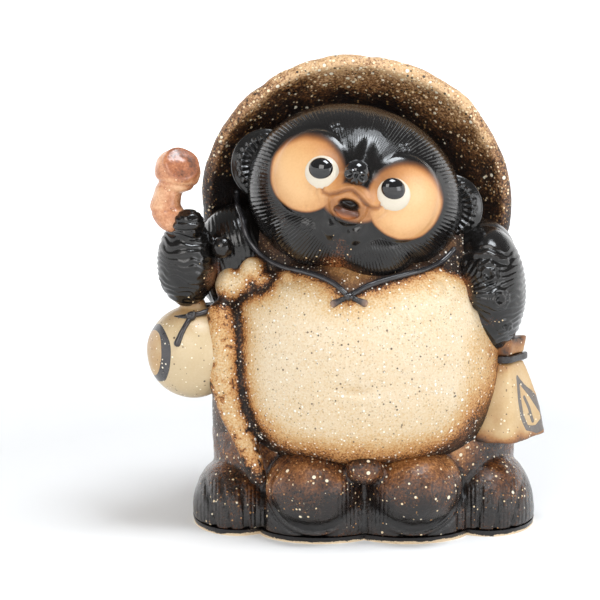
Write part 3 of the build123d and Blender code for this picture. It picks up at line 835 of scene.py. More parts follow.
def makeHead():
    bm = bmesh.new()
    halfX, halfY, front = facePose["half"]
    made = bmesh.ops.create_uvsphere(bm, u_segments=160, v_segments=120, radius=1)
    for v in made["verts"]:
        x, y, z = v.co
        if z < 0:  # behind the middle the egg becomes a drum with a rounded end
            side = math.hypot(x, y)
            t = math.acos(min(side, 1)) / (math.pi / 2)
            depth = min(t * 1.35, 1) * headPose["drumBack"]
            closing = 1 if t < 0.62 else math.sqrt(max(0, 1 - ((t - 0.62) / 0.38) ** 2))
            wide = (1 - (1 - headPose["drumTaper"]) * depth / headPose["drumBack"]) * closing
            x, y = (x / side * wide, y / side * wide) if side > 1e-5 else (0, 0)
            v.co = fromFace(x * halfX, y * halfY, -depth)
        else:
            v.co = fromFace(x * halfX, y * halfY, z * front)
    for pad in headPose["pads"]:
        faceBall(bm, *pad)
    jaw = headPose["jaw"]
    for side in (-1, 1):  # puffs of fur under the patches
        ball(bm, fromFace(side * jaw["out"] + 1, jaw["low"], jaw["deep"]), jaw["radii"], faceTurn)
    mesh = fused(bm, headPose["voxel"])
    relax(mesh, 7)
    x, y, z = inFace(coordsOf(mesh)).T
    front = rise(z, 5, 25)
    amount = np.zeros(len(x))
    # eye sockets, brow and cheek rolls
    for side in (-1, 1):
        amount -= 1.2 * hump(np.hypot((x - side * 23.5) / 15, (y - 7) / 15), 1)
        # black roll under the patch
        amount += 2.2 * hump(np.hypot((x - side * 27 - 2) / 17, (y + 28) / 6.5), 1)
        for dx, dy in headPose["tufts"]:
            amount += 0.9 * hump(np.hypot(x - side * 22.8 - dx, y - 35.5 - dy), 1.1)
        amount -= 0.7 * hump(np.hypot(x - side * 26 - 2.0, y + 18.4), 1.2)
        amount -= 0.7 * hump(np.hypot(x - side * 26 + 1.4, y + 18.0), 1.0)
    # muzzle: lip line with curls, open mouth, creases beside it
    lip = toLine(x, y, upperLip)
    amount += 0.9 * hump(toLine(x, y, [(px, py + 1.9) for px, py in upperLip]), 1.5)
    amount -= 1.5 * hump(lip, 1.0)
    amount -= 4.5 * (1 - rise(np.hypot((x + 1.2) / 7.4, (y + 9.3) / 3.9), 0.55, 1.05))
    amount += 1.6 * hump(toLine(x, y, mouthArc), 2.4)
    amount -= 1.0 * hump(toLine(x, y, [(px * 1.32, py * 1.2 + 0.4) for px, py in mouthArc]), 1.6)
    for line in headPose["muzzleLines"]:
        amount -= 1.1 * hump(toLine(x, y, line), 1.0)
    # the hollow above the nose and the chin's folds
    for height, *place in headPose["bumps"]:
        amount += height * spot(x, y, *place)
    # hair all over, but for the patches, the muzzle and the hollow
    cheekX, cheekY = headPose["cheek"]
    fromPatch = [np.hypot((x - side * cheekX) / 26.5, (y - cheekY) / 28.5) for side in (-1, 1)]
    hairZone = 1 - np.maximum.reduce([1 - rise(away, 0.96, 1.08) for away in fromPatch])
    hairZone *= (
        rise(np.hypot(x / 20, (y + 14) / 22), 1.0, 1.3) * rise(np.hypot(x / 10, (y - 22) / 16), 0.8, 1.3)
    )
    angle = np.arctan2(y, x)
    amount += 0.03 * hairZone * np.sin(68 * angle + 1.2 * cloud(coordsOf(mesh), 18))
    push(mesh, amount * np.where(z > 0, front, 0) + 0.2 * cloud(coordsOf(mesh), 18))
    co = coordsOf(mesh)
    x, y, z = inFace(co).T
    wander = 0.02 * cloud(co, 9)
    tan = np.zeros(len(x))
    for side in (-1, 1):
        cx, cy = side * cheekX, cheekY
        r = np.hypot((x - cx) / headPose["cheekRadii"][0], (y - cy) / headPose["cheekRadii"][1]) + wander
        softness = fade(y - cy, headPose["patchSoftness"])
        inside = 1 - rise(r, 0.99 - softness, 1.0 + softness * 0.25)
        # browner beside the nose and over the eye
        warm = 0.26 * hump(np.hypot((x - side * 13) / 15, (y - 14) / 20), 1)
        tan = np.maximum(
            tan, inside * (1.0 - warm - 0.16 * rise(y - cy, 0, 26) - 0.12 * rise(r, 0.55, 1.0))
        )
    mid = np.hypot((x + 0.5) / 21, (y + 7.5) / 12.5) + wander
    tan = np.maximum(tan, (1 - rise(mid, 0.80, 1.15)) * 0.77)
    wedge = 1 - rise(np.hypot(x / 9.5, (y - 30) / 17.5), 0.85, 1.25)
    tan *= 1 - wedge
    tan -= 0.20 * hump(lip, 1.2) + 0.10 * hump(toLine(x, y, mouthArc), 3.0)
    tan -= 0.55 * (1 - rise(np.hypot((x + 1.2) / 7.2, (y + 9.4) / 3.8), 0.7, 1.1))
    tan[z < 0] = 0
    paint(mesh, "tan", np.clip(tan, 0, 1))
    paint(mesh, "hair", hairZone * rise(np.hypot(x, y), 12, 20) * rise(-tan, -0.35, -0.15))
    chin = spot(x, y, 1.0, -38, 10, 14) * 0.50 + 0.62 * spot(x, y, 6, -54, 24, 9)
    paint(mesh, "chin", np.where(z > 0, chin, 0))
    # darker in the hollows: partly glaze pooling, partly painted shade
    paintShade(mesh, 0.42, 0.5, 0.2, 25)
    addPiece(
        mesh, "head", "black_fur", glaze("headGlaze", headLook), "head_shell", "right_cheek_pad",
        "left_cheek_pad", "muzzle"
    )


makeHead()

# Nose, eyes and lower lip
glossBlack = {
    "ramp": [(0.3, (9, 9, 10)), (0.7, (20, 19, 20))], "rough": 0.07, "fineBump": 0.0, "softBump": 0.05,
    "coat": 0.6,
    "coatRough": 0.03, "cloudScale": 80,
}
whiteGlaze = {
    "ramp": [(0.3, (206, 196, 176)), (0.7, (222, 214, 198))], "rough": 0.14, "fineBump": 0.02,
    "softBump": 0.15,
    "coat": 0.4, "coatRough": 0.06, "cloudScale": 70,
}
lipLook = {
    "by": "shade", "ramp": [(0.1, (30, 18, 13)), (0.5, (96, 52, 28)), (0.9, (168, 98, 46))], "rough": 0.28,
    "fineBump": 0.05, "softBump": 0.1, "grain": 0.15, "cloud": 0.3, "coat": 0.3,
}
eyes = {
    "right": {"white": (-0.330, 0.103), "pupil": (-0.331, 0.126)},
    "left": {"white": (0.340, 0.083), "pupil": (0.309, 0.129)},
    "whiteRadii": (11.6, 11.2, 7.0), "whiteLift": 5.4, "pupilRadii": (7.9, 7.1, 4.4), "pupilLift": 7.6,
}
nose = {"radii": (8.2, 8.4, 8.0), "place": (-0.026, 0.183), "lift": 10.5}
lip = {"radii": (8.4, 5.4, 6.0), "place": (-0.020, -0.228), "lift": 9.5}


def makeFeatures():
    gloss = glaze("blackGloss", glossBlack)
    white = glaze("eyeWhite", whiteGlaze)
    for side in ("right", "left"):
        bm = bmesh.new()
        faceBall(bm, eyes["whiteRadii"], eyes[side]["white"], eyes["whiteLift"], around=96, rings=64)
        addPiece(meshFrom(bm), side + "_eye_white", "eye_white", white, side + "_eyeball")
        bm = bmesh.new()
        faceBall(bm, eyes["pupilRadii"], eyes[side]["pupil"], eyes["pupilLift"], around=96, rings=64)
        addPiece(meshFrom(bm), side + "_pupil_dome", "black_gloss", gloss, side + "_pupil")
    bm = bmesh.new()
    faceBall(bm, nose["radii"], nose["place"], nose["lift"], around=120, rings=90)
    mesh = meshFrom(bm)
    x, y = inFace(coordsOf(mesh)).T[:2]
    cx, cy = onePlace(nose["place"])
    amount = np.zeros(len(x))
    for side in (-1, 1):  # nostril rings with a pit in each
        r = np.hypot(x - cx - side * 4.2, y - cy + 1.6)
        amount += 0.9 * hump(r - 2.5, 0.8) - 1.6 * hump(r, 1.4)
    amount -= 0.9 * hump(toLine(x, y, [(cx, cy - 8), (cx, cy - 1)]), 0.7)
    for side in (-0.4, 0.4):
        amount -= 0.5 * hump(toLine(x, y, [(cx + side * 9, cy - 8), (cx + side * 4, cy - 4)]), 0.5)
    push(mesh, amount)
    addPiece(mesh, "nose_ball", "black_gloss", gloss, "nose")
    bm = bmesh.new()
    faceBall(bm, lip["radii"], lip["place"], lip["lift"], around=80, rings=60)
    mesh = meshFrom(bm)
    x, y = inFace(coordsOf(mesh)).T[:2]
    push(
        mesh,
        -3.0 * (1 - rise(np.hypot((x + 1.4) / 6.4, (y + 9.2) / 3.8), 0.5, 1.1)) - 0.9 * rise(-y, 14.5, 17.5)
    )
    x, y = inFace(coordsOf(mesh)).T[:2]
    paint(mesh, "shade", np.clip(0.12 + 0.35 * rise(-y, 11.0, 13.5) + 0.45 * rise(-y, 14.0, 18.0), 0, 1))
    addPiece(mesh, "lip", "lip_brown", glaze("lipBrown", lipLook), "lower_lip")


makeFeatures()

# Ears
ears = {
    "right": (-0.869, 0.063), "left": (0.864, 0.143), "radii": (22.5, 23.5, 20.0), "sink": 8.0,
    "hollow": 9.0
}


def makeEar(side):
    cx, cy = onePlace(ears[side])
    out = -1 if side == "right" else 1
    bm = bmesh.new()
    ball(bm, fromFace(cx, cy, -ears["sink"]), ears["radii"], faceTurn)
    mesh = fused(bm, 0.62)
    x, y, z = inFace(coordsOf(mesh)).T
    radiusX, radiusY = ears["radii"][0], ears["radii"][1]
    r = np.hypot((x - cx) / radiusX, (y - cy) / radiusY)
    facing = rise(z + ears["sink"], -2, 4)
    co = coordsOf(mesh)
    # the bowl, then a thin bright rim, an inner fold and hair ridges across the bowl
    inner = np.clip(r / 0.86, 0, 1)
    bowl = ears["radii"][2] - ears["sink"] - ears["hollow"] * np.sqrt(np.clip(1 - inner**2, 0, 1))
    floor = np.where(r < 0.86, np.minimum(z, bowl), z)
    local = inFace(co)
    local[:, 2] = np.where(facing > 0, floor, z)
    moveTo(mesh, np.array(facePose["middle"]) + local @ np.array(faceTurn).T)
    relax(mesh, 3)
    x, y, z = inFace(coordsOf(mesh)).T
    r = np.hypot((x - cx) / radiusX, (y - cy) / radiusY)
    facing = rise(z + ears["sink"], 0, 4)
    amount = 1.4 * hump(r - 0.93, 0.035) - 0.8 * hump(r - 0.84, 0.04)
    fold = np.hypot((x - cx + out * 9) / 9.5, (y - cy + 1) / 13)
    amount += 2.6 * (1 - rise(fold, 0.6, 1.05)) + 0.8 * hump(fold - 1.12, 0.09)
    angle = np.arctan2(y - cy, (x - cx + out * 6) * out)
    ridges = rise(r, 0.42, 0.55) * (1 - rise(r, 0.80, 0.88)) * rise(fold, 1.0, 1.2)
    amount += 0.55 * ridges * np.sin(32 * angle)
    push(mesh, amount * facing)
    # darker in the hollows: partly glaze pooling, partly painted shade
    paintShade(mesh, 0.35, 0.8, 0.15, 12, most=0.9)
    paint(mesh, "hair", ridges * facing)
    addPiece(mesh, side + "_ear_shell", "black_fur", glaze(side + "EarGlaze", {
        "by": "shade", "grain": 0.1, "cloud": 0.2, "ramp": blackRows, "rough": 0.2, "roughVary": 0.1,
        "fineBump": 0.1,
        "softBump": 0.3, "coat": 0.3, "cloudScale": 90,
    }), side + "_ear")


makeEar("right")
makeEar("left")

# Straw hat
hat = {
    "radius": 104.5, "lip": 6.5, "depth": 60.0, "wall": 8.0, "crown": 0.10, "bulge": (0.62, 0.56),
    "tilt": 6.0
}
hatLook = {
    "by": "shade", "grain": 1.6, "grainScale": 640, "cloud": 0.75, "cloudScale": 48,
    "ramp": [
        (0.1, (22, 18, 17)), (0.34, (52, 34, 24)), (0.50, (100, 65, 38)),
        (0.72, (156, 112, 72)), (0.98, (218, 180, 136)),
    ],
    "specks": [
        fleck(560, 0.50, 0.85, (204, 160, 104), by="shade", strength=0.75, lift=0.3),
        fleck(420, 0.46, 0.70, (250, 228, 188), by="shade", lift=0.6),
        fleck(260, 0.40, 0.50, (255, 246, 222), by="shade", lift=0.9),
        fleck(360, 0.42, 0.34, (34, 22, 15), strength=0.9),
    ],
    "rough": 0.32, "roughVary": 0.3, "fineBump": 1.1, "softBump": 1.0,
}


def bezier(a, b, c, d, count):
    t = np.linspace(0, 1, count)[:, None]
    a, b, c, d = (np.array(p, float) for p in (a, b, c, d))
    return (1 - t) ** 3 * a + 3 * (1 - t) ** 2 * t * b + 3 * (1 - t) * t**2 * c + t**3 * d


def makeHat():
    middle, tilt = onBody(-0.051, 0.227, 0.963), math.radians(hat["tilt"])
    out = Vector((0, math.cos(tilt), math.sin(tilt)))
    across = out.cross(Vector((1, 0, 0)))
    turn = Matrix((across, out.cross(across), out)).transposed()
    edge = hat["radius"] - hat["lip"]
    bulgeX, bulgeUp = hat["bulge"][0] * hat["radius"], hat["bulge"][1] * hat["depth"]
    crown = hat["crown"] * hat["radius"]
    outer = bezier((0, hat["depth"]), (crown, hat["depth"]), (bulgeX, bulgeUp), (edge, hat["lip"]), 46)
    inner = bezier(
        (edge, -hat["lip"]), (bulgeX, bulgeUp - hat["wall"]), (crown, hat["depth"] - hat["wall"]),
        (0, hat["depth"] - hat["wall"]), 46
    )
    lipTurns = np.radians(np.linspace(90, -90, 16))[1:-1]
    rolled = np.stack([edge + hat["lip"] * np.cos(lipTurns), hat["lip"] * np.sin(lipTurns)], 1)
    bm = bmesh.new()
    drawn(bm, np.concatenate([outer, rolled, inner]))
    turnRound(bm, 240)
    mesh = meshFrom(bm)
    co = coordsOf(mesh)
    r = np.hypot(co[:, 0], co[:, 1])
    angle = np.arctan2(co[:, 1], co[:, 0])
    outside = normalsOf(mesh)[:, 2] > 0
    # hand-made unevenness, and the coils of the straw on the back
    sway = 1 + 0.006 * np.sin(3 * angle + 1.0) + 0.004 * np.sin(7 * angle) - 0.007
    co[:, 0] *= np.where(r > 60, sway, 1)
    co[:, 1] *= np.where(r > 60, sway, 1)
    moveTo(mesh, co)
    coils = np.where(outside, 0.55 * np.abs(np.sin(math.pi * r / 9.0)) - 0.3, 0) * rise(-r, -92, -84)
    plait = (
        np.where(outside, 0.22 * np.sin(90 * angle) * np.sin(math.pi * r / 9.0), 0) * rise(-r, -92, -84)
        * rise(r, 12, 24)
    )
    push(mesh, coils + plait + 1.0 * cloud(co, 16) + 0.45 * cloud(co, 5, 3.0))
    co = coordsOf(mesh)
    r = np.hypot(co[:, 0], co[:, 1])
    world = co @ np.array(turn).T + np.array(middle)
    # painted light and shade on the dish: darker towards the middle, partly the glaze and partly painted
    # shade; lighter high up and at the top right, darker low down and on the left
    high = rise(world[:, 2], 190, 300)
    shade = (
        0.03 + 0.40 * rise(r, 58, 88) * (0.40 + 0.60 * high) + 0.05 * rise(r, 88, 104)
        + 0.26 * rise(r, 70, 92) * high
    )
    shade -= (
        0.26 * rise(-world[:, 2], -200, -140) + 0.16 * rise(-world[:, 0], 20, 70)
        - 0.10 * rise(world[:, 0], -40, 60) * high
    )
    # the back lighter towards the rim, and lighter high up as painted light; darker in the hollows, partly
    # glaze pooling and partly painted shade
    shade = (
        np.where(outside, 0.32 + 0.14 * rise(r, 60, 100) + 0.14 * high, shade) + 0.12 * cloud(world, 24)
        - 0.5 * np.minimum(creases(mesh), 0.4)
    )
    paint(mesh, "shade", np.clip(shade, 0, 1))
    mesh.transform(Matrix.Translation(middle) @ turn.to_4x4())
    addPiece(mesh, "hat", "hat_brown", glaze("hatBrown", hatLook), "straw_hat")


makeHat()

# Arms
armLook = {
    "by": "shade", "grain": 0.12, "cloud": 0.25, "cloudScale": 60, "ramp": blackRows,
    "layers": [{"by": "brown", "grain": 0.9, "cloud": 0.7, "edge": (0.35, 0.7), "rough": 0.3,
                "ramp": [(0.4, (50, 30, 22)), (0.7, (104, 62, 38)), (1.0, (176, 116, 66))]}],
    "specks": [fleck(400, 0.34, 0.5, (244, 216, 170), by="brown", lift=0.4)],
    "rough": 0.17, "roughVary": 0.15, "fineBump": 0.08, "softBump": 0.6, "specular": 0.42, "coat": 0.25,
    "coatRough": 0.05,
}
rightArm = {
    "forms": (
        ((29, 30, 37), (-0.815, -0.12, 0.815)), ((19.5, 22, 29), (-1.131, -0.53, 0.827)),
        ((10.5, 11.5, 10), (-1.113, -0.68, 0.949)),
    ),
    "bead": ((-0.900, -0.67, 0.879), (7.2, 7.2, 7.2)), "fingers": (200.5, 206.0),
    "brown": ((0.8, -98, 168, 7, 16), (0.5, -112, 148, 16, 6), (0.6, -70, 158, 14, 10)),
}
leftArm = {
    "forms": (
        ((27, 30, 27), (0.725, -0.15, 0.825)), ((24.5, 34, 42), (0.800, -0.42, 0.733)),
        ((16, 20, 14), (0.780, -0.70, 0.735)),
    ),
    "whorls": ((79.5, 172.5, 3.6), (86.0, 157.0, 3.2), (90.5, 138.0, 2.2)),
    "fold": ((61, 176), (68, 184), (80, 186), (92, 181)),
}


def makeRightArm():
    bm = bmesh.new()
    bodyBalls(bm, rightArm["forms"])
    mesh = fused(bm, 0.8)
    relax(mesh, 6)
    co = coordsOf(mesh)
    x, y, z = co.T
    arm = rise(-x, 92, 98) * rise(-y, 20, 34)
    waves = np.sin(2 * math.pi * (z + 0.20 * (x + 115)) / 4.2 + 6.0 * cloud(co, 10))
    ridge = 0.28 * arm * waves * rise(-x, 94, 112)
    zigzag = 0.6 * arm * cloud(co, 5.0, 4.0) * hump((x + 106) / 9, 1)
    # fingers over the staff
    fingers = (
        -1.5 * sum(hump(z - f, 0.9) for f in rightArm["fingers"]) * rise(-y, 44, 50)
        * hump((x + 110) / 12, 1)
    )
    shoulder = (
        0.13 * (1 - arm) * np.sin(2 * math.pi * (x + 0.25 * z) / 3.0 + 3.4 * cloud(co, 12))
        * rise(-x, 55, 66)
    )
    push(mesh, ridge + zigzag + fingers + shoulder + 0.4 * cloud(co, 14, 2.0))
    co = coordsOf(mesh)
    x, y, z = co.T
    brown = (
        sum(strength * spot(x, z, *place) for strength, *place in rightArm["brown"])
        + 0.45 * rise(y, 10, 40)
    )
    paint(mesh, "brown", np.clip(brown * 0.8, 0, 1))
    # darker in the hollows: partly glaze pooling, partly painted shade
    paintShade(mesh, 0.38, 0.7, 0.2, 18)
    paint(mesh, "hair", arm)
    material = glaze("rightArmGlaze", armLook)
    addPiece(mesh, "raised_arm", "black_fur", material, "right_shoulder", "right_arm", "right_paw")
    bm = bmesh.new()
    ball(bm, onBody(*rightArm["bead"][0]), rightArm["bead"][1], around=48, rings=36)
    mesh = meshFrom(bm)
    co = coordsOf(mesh)
    push(mesh, 0.35 * cloud(co, 5))
    paint(mesh, "brown", np.full(len(co), 0.25))
    paint(mesh, "shade", np.full(len(co), 0.45))
    addPiece(mesh, "elbow_bead", "black_fur", material, "right_elbow_knob")


def makeLeftArm():
    bm = bmesh.new()
    bodyBalls(bm, leftArm["forms"])
    mesh = fused(bm, 0.9)
    relax(mesh, 9)
    co = coordsOf(mesh)
    x, y, z = co.T
    arm = rise(-y, 5, 25) * (1 - rise(z, 178, 190))
    ridge = (
        0.30 * arm * np.sin(2 * math.pi * (z - 0.16 * (x - 80)) / 4.0 + 4.0 * cloud(co, 12))
        * rise(x, 82, 92)
    )
    amount = ridge + 0.4 * cloud(co, 14, 2.0)
    # whorls on the forearm
    for wx, wz, size in leftArm["whorls"]:
        r = np.hypot(x - wx, z - wz)
        amount += (
            (1.3 * hump(r - size, 1.0) - 1.8 * hump(r, 1.7) + 0.8 * hump(r - size * 2.0, 1.0))
            * rise(-y, 22, 32)
        )
    fan = np.arctan2(z - 160, x - 60)
    amount += 0.4 * arm * np.sin(34 * fan) * (1 - rise(x, 80, 88)) * rise(x, 60, 66)
    folds = toLine(x, z, leftArm["fold"])
    amount += (0.8 * hump(folds, 1.4) - 1.0 * hump(folds - 2.8, 1.0)) * rise(-y, 20, 32)
    push(mesh, amount)
    co = coordsOf(mesh)
    x, y, z = co.T
    brown = 0.85 * (1 - rise(x, 62, 78)) * (1 - rise(z, 165, 180)) + 0.5 * spot(x, z, 80, 142, 14, 9)
    brown += 0.45 * rise(y, 0, 30)
    paint(mesh, "brown", np.clip(brown * 0.9, 0, 1))
    # darker in the hollows: partly glaze pooling, partly painted shade
    paintShade(mesh, 0.38, 0.7, 0.2, 18)
    addPiece(
        mesh, "hanging_arm", "black_fur", glaze("leftArmGlaze", armLook), "left_shoulder", "left_arm",
        "left_paw"
    )


makeRightArm()
makeLeftArm()

# Staff
staff = {
    "knob": (-1.182, -0.58, 1.108), "knobRadius": 14.8, "neckRadii": (10.0, 9.2, 10.8, 9.0, 7.0),
    "facet": (0.35, -0.75, 0.56),
    "neck": (
        (-1.205, -0.58, 1.080), (-1.243, -0.58, 1.040), (-1.250, -0.59, 0.990), (-1.190, -0.63, 0.958),
        (-1.120, -0.66, 0.945),
    ),
}
staffHeadLook = {
    "by": "shade", "grain": 0.55, "cloud": 0.9, "cloudScale": 60, "grainScale": 620,
    "ramp": [
        (0.1, (52, 34, 27)), (0.30, (106, 74, 60)), (0.50, (158, 98, 68)),
        (0.74, (200, 138, 98)), (1.0, (230, 182, 142)),
    ],
    "specks": [
        fleck(520, 0.34, 0.14, (72, 42, 30), strength=0.7),
        fleck(420, 0.30, 0.10, (248, 214, 178), lift=0.2),
    ],
    "rough": 0.26, "roughVary": 0.2, "fineBump": 0.15, "softBump": 0.5, "coat": 0.2,
}


def makeStaff():
    bm = bmesh.new()
    knob = onBody(*staff["knob"])
    radius = staff["knobRadius"]
    ball(bm, knob, (radius, radius, radius))
    bentForm(bm, [onBody(*row) for row in staff["neck"]], staff["neckRadii"])
    mesh = fused(bm, 0.6)
    relax(mesh, 6)
    co = coordsOf(mesh)
    x, z = co[:, 0], co[:, 2]
    local = co - np.array(knob)
    # the cut top faces the viewer, tipped to the right, with a brow fold round it
    facet = local @ np.array(Vector(staff["facet"]).normalized())
    amount = -2.2 * rise(facet, 10, 14.5)
    ring = np.abs(facet - 9.5)
    amount += 0.6 * hump(ring, 1.2)
    amount -= 0.9 * hump(z - 229 + 0.15 * (x + 120), 1.6) + 0.8 * hump(z - 213.5 - 0.2 * (x + 126), 1.8)
    push(mesh, amount + 0.7 * cloud(co, 9))
    co = coordsOf(mesh)
    local = co - np.array(knob)
    facet = local @ np.array(Vector(staff["facet"]).normalized())
    # darker on the cut top and on the neck towards the paw; darker in the hollows, partly glaze pooling and
    # partly painted shade
    shade = (
        0.76 - 0.34 * rise(facet, 7, 11) - 1.2 * creases(mesh)
        - 0.35 * rise(co[:, 0], -122, -108) * (1 - rise(co[:, 2], 222, 230))
    )
    paint(mesh, "shade", np.clip(shade + 0.2 * cloud(co, 10, 6.0), 0, 1))
    addPiece(mesh, "staff_knob", "staff_red_brown", glaze("staffRedBrown", staffHeadLook), "staff_head")


makeStaff()

# Sake flask with its tie
flask = {
    "middle": onBody(-1.098, -0.50, 0.549), "radius": 30.5, "neckRadius": 8.5, "neckHeight": 9.0,
    "ringOut": (-0.91, -0.41, 0.03), "ringSide": (0.41, -0.91, -0.25), "rope": 1.8, "ropeUp": 0.87,
    "ropeTilt": 12,
}
flaskLook = {
    "by": "shade", "grain": 0.3, "grainScale": 620, "cloud": 0.22, "cloudScale": 55,
    "ramp": [
        (0.05, (76, 46, 28)), (0.25, (168, 116, 66)), (0.45, (186, 148, 100)),
        (0.7, (198, 175, 137)), (1.0, (210, 192, 158)),
    ],
    "layers": [{"by": "brush", "grain": 0.15, "cloud": 0.25, "edge": (0.42, 0.56), "rough": 0.3,
                "ramp": [(0.4, (70, 66, 66)), (0.8, (56, 54, 56)), (1.0, (84, 82, 84))]}],
    "specks": [
        fleck(520, 0.34, 0.14, (96, 70, 50), strength=0.8),
        fleck(460, 0.36, 0.22, (252, 242, 220), lift=0.3),
        fleck(260, 0.24, 0.14, (62, 44, 34), strength=0.9),
    ],
    "rough": 0.38, "roughVary": 0.2, "fineBump": 0.12, "softBump": 0.4, "coat": 0.15, "coatRough": 0.2,
}
cordLook = {
    "ramp": [(0.3, (24, 22, 23)), (0.6, (48, 44, 45)), (0.9, (92, 74, 66))], "cloud": 0.8,
    "cloudScale": 120, "rough": 0.22,
    "fineBump": 0.1, "softBump": 0.3, "coat": 0.3,
}


def makeFlask():
    middle, radius = flask["middle"], flask["radius"]
    bm = bmesh.new()
    ball(bm, middle, (radius, radius, radius))
    top = middle + Vector((0, 0, radius - 1 + flask["neckHeight"]))
    bentForm(bm, [middle + Vector((0, 0, 12)), top - Vector((0, 0, 4)), top], [flask["neckRadius"]] * 3)
    mesh = fused(bm, 0.8)
    relax(mesh, 8)
    co = coordsOf(mesh)
    local = co - np.array(middle)
    groove = 1.2 * hump(local[:, 0] - 20.5 + 0.006 * local[:, 2] ** 2, 2.0) * rise(-local[:, 1], 5, 15)
    push(mesh, 0.35 * cloud(co, 14) - groove)
    co = coordsOf(mesh)
    local = (co - np.array(middle)) / radius
    # a plain brushed ring on the outer front
    ringOut = np.array(Vector(flask["ringOut"]).normalized())
    angle = np.degrees(
        np.arccos(np.clip((local / np.linalg.norm(local, axis=1)[:, None]) @ ringOut, -1, 1))
    )
    side = np.array(Vector(flask["ringSide"]).normalized())
    across = local @ side
    width = 4.6 + 3.6 * rise(across, 0.05, 0.55) + 1.0 * cloud(co, 8)
    away = angle - 33.5 - 2 * local[:, 2]
    paint(mesh, "brush", 0.9 * (1 - rise(np.abs(away), width * 0.72, width * 1.1)))
    # painted shade: darker at the top under the arm, at the bottom, towards the body and along the groove
    shade = (
        0.80 - 0.30 * rise(local[:, 2], 0.40, 1.0) - 0.26 * rise(local[:, 0], 0.50, 0.85)
        - 0.30 * hump(local[:, 0] - 0.62 + 0.2 * local[:, 2] ** 2, 0.05)
    )
    shade -= 0.18 * rise(-local[:, 2], 0.75, 0.98) + 0.35 * rise(local[:, 2], 1.0, 1.15)
    inside = angle < 30
    shade = np.where(inside, 0.50 + 0.1 * cloud(co, 6), shade)
    paint(mesh, "shade", np.clip(shade + 0.08 * cloud(co, 12, 4.0), 0, 1))
    addPiece(mesh, "flask_body", "flask_oatmeal", glaze("flaskOatmeal", flaskLook), "sake_flask")
    cord = glaze("blackCord", cordLook)
    rope, riseUp, tilt = flask["rope"], flask["ropeUp"] * radius, math.radians(flask["ropeTilt"])
    ringRadius = math.sqrt(radius**2 - riseUp**2) + rope * 0.35
    ringMiddle = middle + Vector((0, 0, riseUp))
    bm = bmesh.new()
    turned = bmesh.ops.create_circle(bm, segments=20, radius=rope, cap_ends=False)["verts"]
    bmesh.ops.rotate(bm, verts=turned, cent=(0, 0, 0), matrix=Matrix.Rotation(math.pi / 2, 3, "X"))
    bmesh.ops.translate(bm, verts=turned, vec=(ringRadius, 0, 0))
    turnRound(bm, 96)
    bmesh.ops.transform(
        bm, matrix=Matrix.Translation(ringMiddle) @ Matrix.Rotation(-tilt, 4, "Y"), verts=bm.verts[:]
    )
    addCord(bm, "flask_tie", cord, "flask_cord_loop", 0.25, 4)
    knot = ringMiddle + Vector((0, -ringRadius - rope, 0))
    bm = bmesh.new()
    ball(bm, knot, (3.4, 3.0, 3.2), around=32, rings=24)
    ball(bm, knot + Vector((1.6, -0.6, 1.4)), (2.0, 1.8, 2.0), around=24, rings=18)
    addCord(bm, "flask_knot", cord, "flask_cord_knot", 0.3, 2.4, voxel=0.3, rounds=4)
    endX, endUp = -0.30 * radius, 0.28 * radius
    end = middle + Vector((endX, -math.sqrt(radius**2 - endX**2 - endUp**2), endUp))
    half = (knot + end) * 0.5 + (knot + end - middle * 2).normalized() * rope
    bm = bmesh.new()
    bentForm(bm, [knot, half, end], [rope, rope, rope * 1.4], around=28, rings=60, flat=0.8)
    addCord(bm, "flask_tie_end", cord, "flask_cord_end", 0.15, 4)


makeFlask()

# Account book
book = {
    "low": 59.0, "height": 52.0, "corner": 5.0, "middle": (0.905, -0.52), "tie": 5.0, "collar": 11.0,
    "points": ((-22.0, 20.0), (-25.0, -10.0), (4.0, -20.0), (31.8, 18.4)), "shares": (1.0, 0.80, 0.46),
    "collarShare": 0.52,
    "leaf": (
        (0.34, 1.04), (0.66, 0.74), (0.92, 0.40), (0.90, 0.20), (0.66, 0.12), (0.42, 0.20), (0.30, 0.44),
        (0.30, 0.72), (0.34, 1.04),
    ),
    "vein": ((0.46, 0.70), (0.54, 0.50), (0.60, 0.28)),
}
bookLook = {
    "by": "shade", "grain": 0.3, "grainScale": 620, "cloud": 0.25, "cloudScale": 50,
    "ramp": [
        (0.05, (44, 28, 18)), (0.22, (130, 82, 42)), (0.4, (170, 120, 68)),
        (0.65, (196, 162, 114)), (1.0, (214, 190, 148)),
    ],
    "layers": [{"by": "brush", "grain": 0.2, "cloud": 0.3, "edge": (0.42, 0.56), "rough": 0.3,
                "ramp": [(0.4, (112, 100, 92)), (0.8, (92, 84, 80)), (1.0, (118, 110, 104))]}],
    "specks": [
        fleck(520, 0.34, 0.14, (96, 66, 44), strength=0.8),
        fleck(440, 0.36, 0.22, (252, 238, 210), lift=0.3),
        fleck(260, 0.24, 0.16, (58, 40, 30), strength=0.9),
    ],
    "rough": 0.4, "roughVary": 0.2, "fineBump": 0.14, "softBump": 0.5, "coat": 0.15, "coatRough": 0.2,
}


